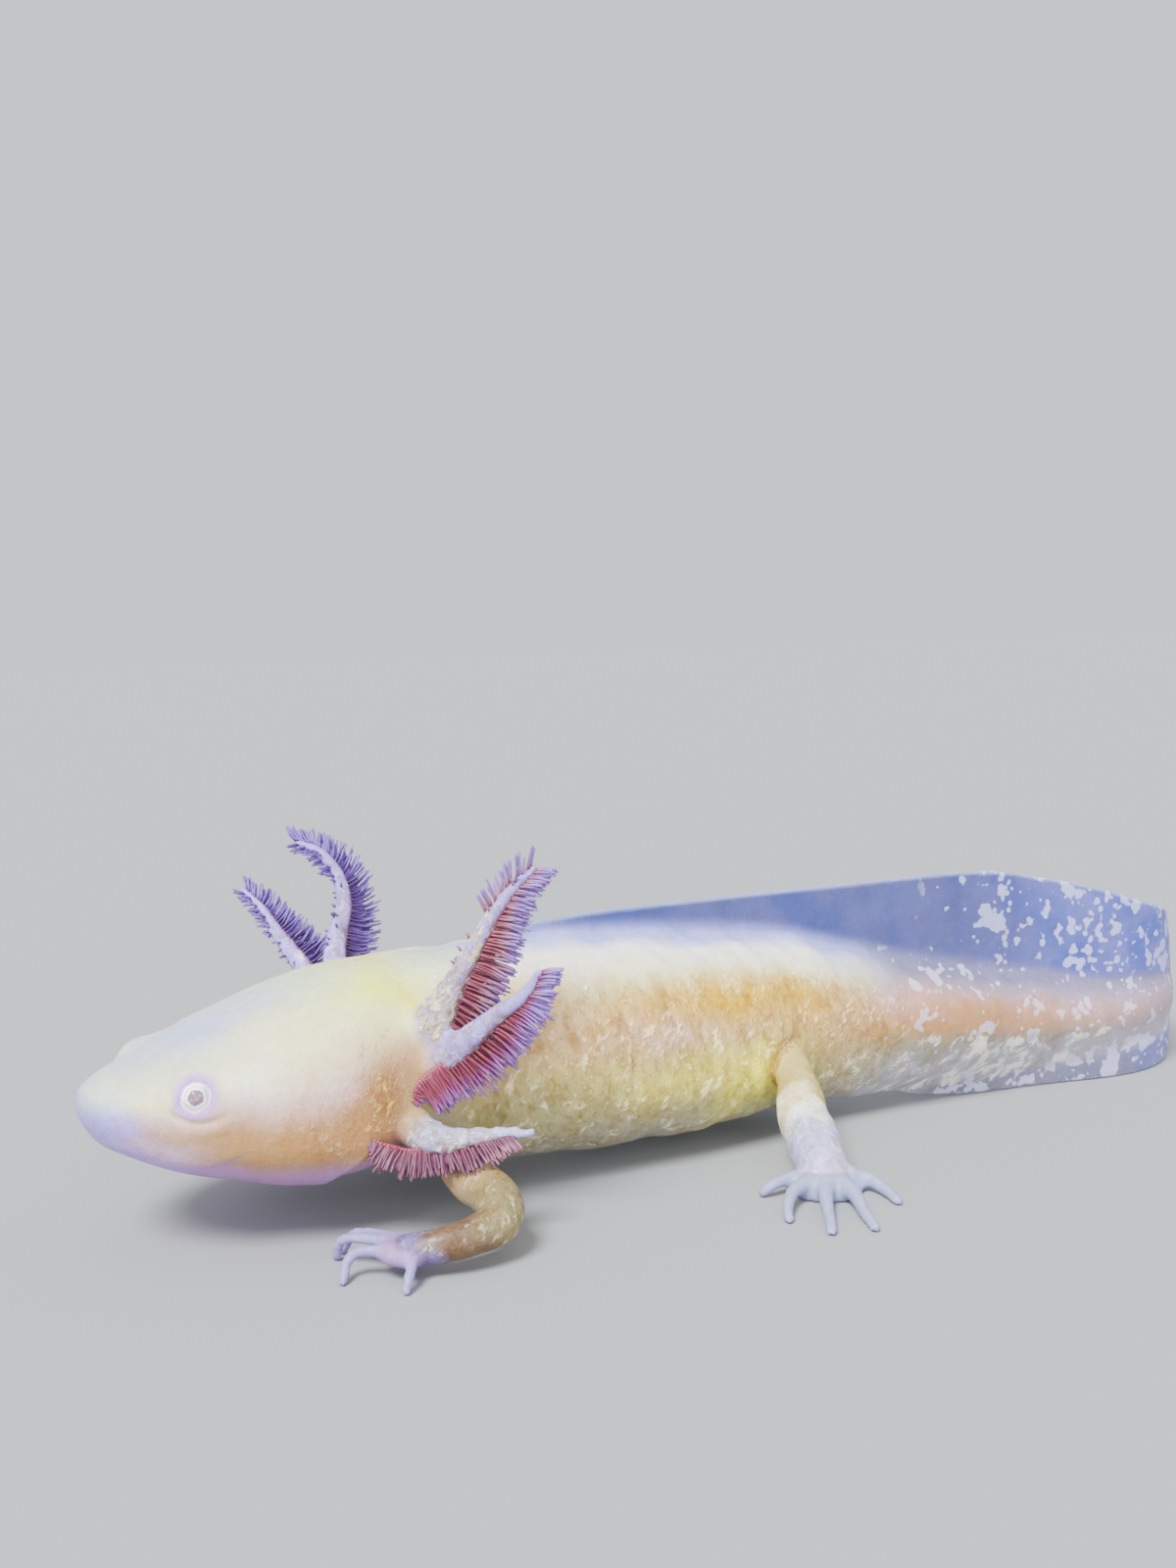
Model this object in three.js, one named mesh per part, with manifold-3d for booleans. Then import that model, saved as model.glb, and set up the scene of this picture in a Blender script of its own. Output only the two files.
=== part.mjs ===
// A young golden albino axolotl at rest: a still, life-size model in millimetres, +Z up.
// The snout points along -X and the animal's left side faces -Y. It stands on Z = 0 on its
// toes and on the lower edge of its tail fin. The flesh is one form, parted by thin cuts
// into the parts that a person would name.
import * as THREE from 'three';
import { mergeVertices } from 'three/addons/utils/BufferGeometryUtils.js';
import Module from 'manifold-3d';

const wasm = await Module();
wasm.setup();

// ---------------------------------------------------------------------------
// Driving dimensions
// ---------------------------------------------------------------------------

const GAP = 0.3;            // width of the thin cut between two neighbouring parts
const MIDDLE_X = 4.02;      // middle of the whole animal, which becomes the origin
const MIDDLE_Y = -3.69;
const LEFT = -1;            // sides of the body, as signs of Y
const RIGHT = 1;

// The backbone seen from above, from the snout to the end of the tail, which folds to the right.
const SPINE_POINTS = [
  [-54.6, -3.0], [-47.5, -1.7], [-37.5, -0.4], [-27.6, 0.3], [-14.0, 0.4],
  [0.0, 1.2], [11.6, 1.4], [26.7, -0.4], [39.3, -1.6], [49.5, -3.2],
  [56.5, -1.8], [61.0, 2.4], [62.2, 8.5], [60.5, 15.0], [57.5, 20.0],
];

// The muscled body: distance behind the snout, half width, underside, back,
// height of the widest level as a share of the depth, squareness of the section.
const BODY_ROWS = [
  [0.0, 0.0, 12.3, 12.3, 0.50, 2.0],
  [0.5, 2.6, 10.6, 13.7, 0.48, 2.0],
  [1.6, 4.5, 9.1, 14.3, 0.46, 2.1],
  [4.1, 6.8, 7.4, 15.2, 0.44, 2.2],
  [7.0, 8.7, 6.2, 16.3, 0.42, 2.3],
  [11.3, 10.3, 4.9, 17.9, 0.40, 2.3],
  [15.5, 11.5, 3.9, 19.2, 0.38, 2.3],
  [20.5, 12.1, 3.5, 20.4, 0.38, 2.3],
  [24.0, 11.5, 3.8, 20.8, 0.40, 2.3],
  [28.5, 9.9, 3.2, 21.1, 0.44, 2.2],
  [34.0, 8.9, 2.3, 21.3, 0.46, 2.2],
  [40.0, 9.1, 1.8, 21.3, 0.45, 2.2],
  [48.0, 9.4, 1.5, 20.7, 0.43, 2.2],
  [55.0, 9.1, 1.3, 19.9, 0.42, 2.2],
  [61.0, 8.3, 1.7, 19.2, 0.44, 2.2],
  [67.0, 6.9, 1.7, 18.2, 0.48, 2.1],
  [73.0, 5.7, 1.8, 16.6, 0.55, 2.0],
  [78.0, 4.9, 2.2, 15.2, 0.60, 2.0],
  [86.0, 4.0, 2.3, 13.4, 0.62, 1.9],
  [95.0, 2.9, 2.7, 11.6, 0.60, 1.9],
  [104.0, 1.8, 3.5, 10.0, 0.56, 2.0],
  [113.0, 1.0, 4.6, 9.2, 0.52, 2.0],
  [122.0, 0.65, 6.0, 8.4, 0.50, 2.0],
];

// The thin fin along the back and round the tail: distance behind the snout, upper edge.
const FIN_TOP_ROWS = [
  [36.0, 21.9], [41.0, 22.6], [48.0, 22.9], [62.0, 22.8], [74.0, 22.9], [84.0, 23.2],
  [90.0, 22.9], [96.0, 21.8], [102.0, 20.4], [107.0, 18.7], [113.0, 17.0], [120.0, 14.9],
  [127.0, 12.3], [132.0, 9.9], [135.5, 7.8], [136.9, 6.2],
];

// The lower edge of the fin under the tail. It lies on the floor along its middle.
const FIN_BOTTOM_ROWS = [
  [77.0, 2.3], [80.0, 1.2], [85.0, 0.3], [90.0, 0.0], [107.0, 0.0], [112.0, 0.3],
  [116.0, 1.1], [120.0, 2.1], [127.0, 3.3], [132.0, 4.0], [135.5, 4.7], [136.9, 5.4],
];
const FIN_HALF_ROOT = 0.55;   // half thickness where the fin leaves the body
const FIN_HALF_EDGE = 0.32;   // half thickness at its rim

// Cuts across the body, as distances behind the snout.
const BODY_PARTS = [
  ['neck', 24.0, 33.0],
  ['chest', 33.0, 43.5],
  ['belly', 43.5, 57.0],
  ['pelvis', 57.0, 72.0],
  ['tail_base', 72.0, 88.0],
  ['tail_middle', 88.0, 105.0],
  ['tail_end', 105.0, 121.7],
];
const HEAD_END = 24.0;
const TAIL_TIP_START = 122.0;
const UPPER_FINS = [
  ['fin_neck', 36.0, 43.5],
  ['fin_back', 43.5, 57.0],
  ['fin_rump', 57.0, 72.0],
  ['fin_tail_base_upper', 72.0, 88.0],
  ['fin_tail_middle_upper', 88.0, 105.0],
  ['fin_tail_end_upper', 105.0, TAIL_TIP_START],
];
const LOWER_FINS = [
  ['fin_tail_base_lower', 80.0, 88.0],
  ['fin_tail_middle_lower', 88.0, 105.0],
  ['fin_tail_end_lower', 105.0, TAIL_TIP_START],
];

// The mouth line runs under the overhanging snout and almost level back to the throat.
const MOUTH_FRONT_Z = 8.4;
const MOUTH_BACK_Z = 8.6;
const MOUTH_BACK_S = 21.0;

// The middle of each eye: distance behind the snout, distance from the middle plane, height.
// The head is a little turned, so the right eye stands higher and further in.
const EYE_PLACES = {
  [LEFT]: [7.3, 7.1, 13.3],
  [RIGHT]: [6.9, 6.6, 13.95],
};
const EYE_RADIUS = 1.35;
// The swelling above and behind an eye: its middle, measured from the eye's, and its radii.
const BROW_BACK = 0.3;
const BROW_INWARD = 1.2;
const BROW_RISE = 0.2;
const BROW_RADII = [2.3, 1.7, 1.6];

// Steps of the lofts
const SNOUT_RINGS = [0.02, 0.25, 0.8, 1.8, 3.2, 5.0];
const SNOUT_END = 7.0;        // where the head's evenly spaced rings begin
const BODY_SIDES = 20;
const EYE_SIDES = 10;
const PALM_SIDES = 8;
const LIMB_SIDES = 8;
const LIMB_STEPS = 12;        // for a whole limb
const DIGIT_SIDES = 6;
const DIGIT_STEPS = 4;
const STALK_SIDES = 6;
const STALK_STEPS = 7;
const ROUNDING = 0.6;         // size and reach of a tube's last ring, in radii
const BODY_STEP = 3.0;
const FIN_STEP = 2.6;
const EGG_ROWS = 0.6;         // rows of an egg shape from pole to pole, per column round it
const TENSION = 0.5;          // of every smooth curve
const SAME_POINT = 1e-4;      // points this close to each other are one

// ---------------------------------------------------------------------------
// Curves and tables
// ---------------------------------------------------------------------------

// Reads a table of rows [position, value, ...] as smooth monotone curves.
// The warp stretches the position, so that a blunt end rounds off.
function smoothTable(rows, warp) {
  const x = rows.map((row) => warp(row[0]));
  const columns = rows[0].slice(1).map((_, k) => rows.map((row) => row[k + 1]));
  const slopes = columns.map((y) => monotoneSlopes(x, y));
  return (position) => {
    const at = THREE.MathUtils.clamp(warp(position), x[0], x[x.length - 1]);
    let i = 0;
    while (i < x.length - 2 && at > x[i + 1]) i += 1;
    const width = x[i + 1] - x[i];
    const t = (at - x[i]) / width;
    return columns.map((y, k) => {
      const a = y[i] * (1 + 2 * t) * (1 - t) * (1 - t);
      const b = y[i + 1] * t * t * (3 - 2 * t);
      const c = slopes[k][i] * width * t * (1 - t) * (1 - t);
      const d = slopes[k][i + 1] * width * t * t * (t - 1);
      return a + b + c + d;
    });
  };
}

// Slopes that keep a cubic curve from overshooting its rows.
function monotoneSlopes(x, y) {
  const width = x.slice(1).map((value, i) => value - x[i]);
  const rise = y.slice(1).map((value, i) => (value - y[i]) / width[i]);
  return y.map((_, i) => {
    if (i === 0) return rise[0];
    if (i === y.length - 1) return rise[i - 1];
    if (rise[i - 1] * rise[i] <= 0) return 0;
    const before = width[i] * 2 + width[i - 1];
    const after = width[i] + width[i - 1] * 2;
    return (before + after) / (before / rise[i - 1] + after / rise[i]);
  });
}

const bodyTable = smoothTable(BODY_ROWS, (s) => Math.sqrt(s));
const finTop = smoothTable(FIN_TOP_ROWS, (s) => s);
const finBottom = smoothTable(FIN_BOTTOM_ROWS, (s) => s);

const spine = new THREE.CatmullRomCurve3(
  SPINE_POINTS.map(([x, y]) => new THREE.Vector3(x, y, 0)), false, 'catmullrom', TENSION,
);
spine.arcLengthDivisions = 1000;
const spineLength = spine.getLength();

// Place, direction towards the tail and direction towards the animal's right, at a distance.
function spineFrame(s) {
  const u = Math.min(s / spineLength, 1);
  const point = spine.getPointAt(u);
  const back = spine.getTangentAt(u);
  const right = new THREE.Vector3(-back.y, back.x, 0);
  return { point, back, right };
}

// A point of the body's own space: distance behind the snout, towards the right, up.
function bodyPoint(s, out, z) {
  const { point, right } = spineFrame(s);
  return point.clone().addScaledVector(right, out).setZ(z);
}

// Evenly spaced numbers from a to b, about one step apart.
function spaced(a, b, step) {
  const count = Math.max(1, Math.round((b - a) / step));
  return Array.from({ length: count + 1 }, (_, i) => a + ((b - a) * i) / count);
}

// ---------------------------------------------------------------------------
// Closed solids
// ---------------------------------------------------------------------------

// A closed skin over rings of equal length, with a fan of triangles over each end.
function loft(rings) {
  const count = rings[0].length;
  const points = rings.flat();
  const faces = [];
  for (let r = 0; r + 1 < rings.length; r += 1) {
    for (let i = 0; i < count; i += 1) {
      const a = r * count + i;
      const b = r * count + ((i + 1) % count);
      faces.push(a, b, a + count, b, b + count, a + count);
    }
  }
  const last = (rings.length - 1) * count;
  for (let i = 1; i + 1 < count; i += 1) {
    faces.push(0, i + 1, i);
    faces.push(last, last + i, last + i + 1);
  }
  const geometry = new THREE.BufferGeometry().setFromPoints(points);
  geometry.setIndex(faces);
  return solidOf(geometry);
}

// A solid that can be joined and cut, with its faces turned outward.
function solidOf(source) {
  const geometry = source.clone();
  geometry.deleteAttribute('normal');
  geometry.deleteAttribute('uv');
  const merged = mergeVertices(geometry, SAME_POINT);
  const vertProperties = new Float32Array(merged.attributes.position.array);
  const triVerts = Uint32Array.from(merged.index.array);
  let solid = new wasm.Manifold(new wasm.Mesh({ numProp: 3, vertProperties, triVerts }));
  if (solid.volume() < 0) {
    for (let i = 0; i < triVerts.length; i += 3) {
      [triVerts[i], triVerts[i + 1]] = [triVerts[i + 1], triVerts[i]];
    }
    solid = new wasm.Manifold(new wasm.Mesh({ numProp: 3, vertProperties, triVerts }));
  }
  return solid;
}

// A box placed by its lowest and highest corners.
function boxSolid(low, high) {
  const size = high.clone().sub(low);
  const geometry = new THREE.BoxGeometry(size.x, size.y, size.z);
  geometry.translate(...low.clone().add(high).multiplyScalar(0.5).toArray());
  return solidOf(geometry);
}

// An egg shape: three radii, turned about Z, at a place.
function egg(place, radii, turn, detail) {
  const geometry = new THREE.SphereGeometry(1, detail, Math.round(detail * EGG_ROWS));
  geometry.scale(...radii);
  geometry.rotateZ(turn);
  geometry.translate(...place);
  return solidOf(geometry);
}

// A round tube of changing radius along a smooth curve, with a rounded tip.
function taperedTube(points, radii, sides, steps) {
  const curve = new THREE.CatmullRomCurve3(points, false, 'catmullrom', TENSION);
  const frames = curve.computeFrenetFrames(steps, false);
  const radiusAt = smoothTable(radii.map((radius, i) => [i / (radii.length - 1), radius]), (t) => t);
  const ringAt = (place, i, radius) => Array.from({ length: sides }, (_, k) => {
    const angle = (2 * Math.PI * k) / sides;
    return place.clone()
      .addScaledVector(frames.normals[i], radius * Math.cos(angle))
      .addScaledVector(frames.binormals[i], radius * Math.sin(angle));
  });
  const rings = [];
  for (let i = 0; i <= steps; i += 1) {
    const [radius] = radiusAt(i / steps);
    rings.push(ringAt(curve.getPointAt(i / steps), i, radius));
  }
  const [tipRadius] = radiusAt(1);
  const tip = curve.getPointAt(1).addScaledVector(frames.tangents[steps], tipRadius * ROUNDING);
  rings.push(ringAt(tip, steps, tipRadius * ROUNDING));
  return loft(rings);
}

const FAR = 200;
const aboveFloor = boxSolid(new THREE.Vector3(-FAR, -FAR, 0), new THREE.Vector3(FAR, FAR, FAR));

// ---------------------------------------------------------------------------
// Body
// ---------------------------------------------------------------------------

// One cross section of the body, swollen by a margin.
function bodyRing(s, swell) {
  const [half, bottom, top, waist, square] = bodyTable(s);
  const widest = bottom + (top - bottom) * waist;
  const power = 2 / square;
  return Array.from({ length: BODY_SIDES }, (_, k) => {
    const angle = (2 * Math.PI * k) / BODY_SIDES;
    const across = Math.sign(Math.cos(angle)) * Math.abs(Math.cos(angle)) ** power;
    const rise = Math.sign(Math.sin(angle)) * Math.abs(Math.sin(angle)) ** power;
    const reach = rise > 0 ? top - widest : widest - bottom;
    return bodyPoint(s, (half + swell) * across, widest + (reach + swell) * rise);
  });
}

// A length of the body between two distances behind the snout.
function bodyLength(from, to, swell) {
  return loft(spaced(from, to, BODY_STEP).map((s) => bodyRing(s, swell)));
}

// The head, with close rings towards the rounded snout.
function wholeHead() {
  const backRings = spaced(SNOUT_END, HEAD_END - GAP / 2, BODY_STEP);
  return loft([...SNOUT_RINGS, ...backRings].map((s) => bodyRing(s, 0)));
}

const WEDGE_MARGIN = 10.0;    // how far the mouth's wedge runs past the head

// A wedge below (-1) or above (+1) the mouth line, kept half a gap away from it.
function mouthSide(side) {
  const front = spineFrame(0).point.x - WEDGE_MARGIN;
  const slope = (MOUTH_BACK_Z - MOUTH_FRONT_Z) / MOUTH_BACK_S;
  const lineAt = (x) => MOUTH_FRONT_Z + slope * (x - spineFrame(0).point.x) + (side * GAP) / 2;
  const back = front + HEAD_END + 2 * WEDGE_MARGIN;
  const outline = new THREE.Shape();
  outline.moveTo(front, lineAt(front));
  outline.lineTo(back, lineAt(back));
  outline.lineTo(back, side * FAR);
  outline.lineTo(front, side * FAR);
  outline.closePath();
  const geometry = new THREE.ExtrudeGeometry(outline, { depth: FAR, bevelEnabled: false });
  geometry.translate(0, 0, -FAR / 2);
  geometry.rotateX(Math.PI / 2);
  return solidOf(geometry);
}

// The lower jaw ends at the back of the mouth, where the throat begins.
function jawLength(side) {
  const cut = spineFrame(MOUTH_BACK_S).point.x;
  const low = side < 0 ? -FAR : cut + GAP / 2;
  const high = side < 0 ? cut - GAP / 2 : FAR;
  return boxSolid(new THREE.Vector3(low, -FAR, -FAR), new THREE.Vector3(high, FAR, FAR));
}

function eyeCentre(side) {
  const [s, out, z] = EYE_PLACES[side];
  return bodyPoint(s, side * out, z);
}

function eye(side) {
  const radii = [EYE_RADIUS, EYE_RADIUS, EYE_RADIUS];
  return egg(eyeCentre(side).toArray(), radii, 0, EYE_SIDES);
}

function eyeSocket(side) {
  const radius = EYE_RADIUS + GAP;
  return egg(eyeCentre(side).toArray(), [radius, radius, radius], 0, EYE_SIDES);
}

function brow(side) {
  const [s, out, z] = EYE_PLACES[side];
  const middle = bodyPoint(s + BROW_BACK, side * (out - BROW_INWARD), z + BROW_RISE);
  return egg(middle.toArray(), BROW_RADII, 0, EYE_SIDES);
}

function lowerJaw() {
  return wholeHead().intersect(mouthSide(-1)).intersect(jawLength(-1));
}

// The head is everything but the lower jaw, with a swelling and a socket for each eye.
function head() {
  const whole = wholeHead();
  const overMouth = whole.intersect(mouthSide(1));
  const throat = whole.intersect(jawLength(1));
  const upper = overMouth.add(throat).add(brow(LEFT)).add(brow(RIGHT));
  return upper.subtract(eyeSocket(LEFT)).subtract(eyeSocket(RIGHT));
}

// ---------------------------------------------------------------------------
// Fins
// ---------------------------------------------------------------------------

// A blade between two edges. The thick edge stands on the body, the thin one is the rim.
function blade(positions, rootZ, rimZ) {
  return loft(positions.map((s) => {
    const root = rootZ(s);
    const rim = rimZ(s);
    return [
      bodyPoint(s, -FIN_HALF_ROOT, root),
      bodyPoint(s, FIN_HALF_ROOT, root),
      bodyPoint(s, FIN_HALF_EDGE, rim),
      bodyPoint(s, -FIN_HALF_EDGE, rim),
    ];
  }));
}

function upperFin(from, to) {
  const rootZ = (s) => bodyTable(s)[2] + GAP;
  return blade(spaced(from + GAP / 2, to - GAP / 2, FIN_STEP), rootZ, (s) => finTop(s)[0]);
}

function lowerFin(from, to) {
  const rootZ = (s) => bodyTable(s)[1] - GAP;
  return blade(spaced(from + GAP / 2, to - GAP / 2, FIN_STEP), rootZ, (s) => finBottom(s)[0]);
}

// The end of the tail is all fin, from the lower rim to the upper one.
function tailTip() {
  const end = FIN_TOP_ROWS[FIN_TOP_ROWS.length - 1][0];
  return loft(spaced(TAIL_TIP_START + GAP / 2, end, FIN_STEP).map((s) => {
    const low = finBottom(s)[0];
    const high = finTop(s)[0];
    const middle = (low + high) / 2;
    return [
      bodyPoint(s, -FIN_HALF_EDGE, low),
      bodyPoint(s, FIN_HALF_EDGE, low),
      bodyPoint(s, FIN_HALF_ROOT, middle),
      bodyPoint(s, FIN_HALF_EDGE, high),
      bodyPoint(s, -FIN_HALF_EDGE, high),
      bodyPoint(s, -FIN_HALF_ROOT, middle),
    ];
  }));
}

// ---------------------------------------------------------------------------
// Gills: a tapered stalk with two rows of filaments behind it
// ---------------------------------------------------------------------------

// Points of each stalk from inside the neck to its tip, the radius at each of them,
// the side on which the filaments hang, and their greatest length.
const GILLS = {
  gill_left_upper: {
    path: [[-30.2, -5.8, 14.6], [-27.6, -8.9, 16.6], [-25.0, -11.2, 21.7], [-23.0, -12.6, 25.7],
      [-21.3, -13.6, 28.2], [-19.9, -14.4, 29.6]],
    radii: [1.9, 1.75, 1.15, 0.8, 0.6, 0.3],
    lie: [0.9, -0.35, -0.35],
    reach: 2.7,
  },
  gill_left_middle: {
    path: [[-30.5, -6.2, 12.4], [-27.2, -9.7, 13.8], [-25.7, -12.0, 15.6], [-23.5, -14.2, 18.1],
      [-22.0, -16.0, 19.7], [-20.9, -17.3, 21.9]],
    radii: [1.9, 1.6, 1.1, 0.8, 0.6, 0.3],
    lie: [0.75, -0.1, -0.75],
    reach: 3.2,
  },
  gill_left_lower: {
    path: [[-32.4, -6.6, 10.6], [-30.4, -10.4, 9.4], [-28.4, -12.9, 8.3], [-25.5, -14.7, 8.6],
      [-23.3, -15.7, 8.9], [-21.9, -16.4, 8.8]],
    radii: [1.9, 1.5, 1.5, 1.05, 0.6, 0.3],
    lie: [0.35, -0.35, -0.9],
    reach: 2.1,
  },
  gill_right_upper: {
    path: [[-30.8, 6.0, 15.2], [-30.5, 9.4, 18.6], [-29.4, 11.9, 21.6], [-28.4, 13.2, 23.9],
      [-28.8, 14.0, 26.6], [-30.2, 14.6, 28.6], [-32.2, 15.0, 29.7]],
    radii: [1.9, 1.45, 1.05, 0.85, 0.7, 0.55, 0.3],
    lie: [0.95, 0.3, 0.1],
    reach: 2.9,
  },
  gill_right_middle: {
    path: [[-31.0, 6.6, 13.0], [-31.6, 9.9, 16.2], [-33.4, 12.3, 19.3], [-34.6, 14.8, 21.6],
      [-35.5, 16.9, 23.6], [-36.8, 18.5, 25.2]],
    radii: [1.8, 1.35, 0.95, 0.75, 0.5, 0.3],
    lie: [0.9, 0.2, 0.4],
    reach: 2.1,
  },
  gill_right_lower: {
    path: [[-32.4, 6.8, 10.6], [-30.4, 10.4, 9.6], [-28.6, 12.9, 8.9], [-26.4, 15.0, 9.4],
      [-24.6, 16.6, 10.2], [-23.4, 17.8, 10.6]],
    radii: [1.9, 1.4, 1.2, 0.85, 0.5, 0.3],
    lie: [0.5, 0.3, -0.8],
    reach: 1.8,
  },
};
const FILAMENTS_PER_ROW = 6;
const FILAMENT_ROOT = 0.45;    // radius at the stalk
const FILAMENT_TIP = 0.36;     // radius at the tip
const FILAMENT_SPREAD = 0.45;  // how far the two rows open, in radians
const FIRST_FILAMENT = 0.3;    // share of the stalk before the first filament
const LAST_FILAMENT = 0.96;
const FILAMENT_LEAN = 0.25;    // towards the stalk's tip
const SHORTEST_SHARE = 0.55;   // length of a filament at the end of a row, as a share of the reach
const SWELL_START = 0.15;      // part of a half wave that the lengths follow along a row
const SWELL_END = 0.9;

function toVectors(points) {
  return points.map((point) => new THREE.Vector3(...point));
}

// A thin three-sided peg from a stalk outward.
function filament(root, direction, along, reach) {
  const wide = along.clone().normalize();
  const thick = new THREE.Vector3().crossVectors(direction, wide).normalize();
  const ringAt = (place, radius) => [0, 1, 2].map((k) => {
    const angle = (2 * Math.PI * k) / 3;
    return place.clone()
      .addScaledVector(wide, radius * Math.cos(angle))
      .addScaledVector(thick, radius * Math.sin(angle));
  });
  const tip = root.clone().addScaledVector(direction, reach);
  return loft([ringAt(root, FILAMENT_ROOT), ringAt(tip, FILAMENT_TIP)]);
}

function gill({ path, radii, lie, reach }) {
  const points = toVectors(path);
  const curve = new THREE.CatmullRomCurve3(points, false, 'catmullrom', TENSION);
  const lieWay = new THREE.Vector3(...lie).normalize();
  const pieces = [taperedTube(points, radii, STALK_SIDES, STALK_STEPS)];
  for (let i = 0; i < FILAMENTS_PER_ROW; i += 1) {
    const t = i / (FILAMENTS_PER_ROW - 1);
    const u = THREE.MathUtils.lerp(FIRST_FILAMENT, LAST_FILAMENT, t);
    const along = curve.getTangentAt(u);
    const out = lieWay.clone().addScaledVector(along, -lieWay.dot(along)).normalize();
    const swell = Math.sin(Math.PI * THREE.MathUtils.lerp(SWELL_START, SWELL_END, t));
    const length = reach * THREE.MathUtils.lerp(SHORTEST_SHARE, 1, swell);
    for (const row of [-1, 1]) {
      const direction = out.clone().applyAxisAngle(along, row * FILAMENT_SPREAD);
      direction.addScaledVector(along, FILAMENT_LEAN).normalize();
      pieces.push(filament(curve.getPointAt(u), direction, along, length));
    }
  }
  return pieces.reduce((sum, piece) => sum.add(piece));
}

// ---------------------------------------------------------------------------
// Legs: a limb along a curve, cut at its joints, and a palm with its digits
// ---------------------------------------------------------------------------

// A finger ends on the floor with its tip pointing down, a toe lies along the floor.
const TIP_DOWN = 0.1;
const TOE_Z = 0.28;
const FINGER_RADII = [0.6, 0.46, 0.42, 0.38];
const TOE_RADII = [1.0, 0.65, 0.5, 0.42];

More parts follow.
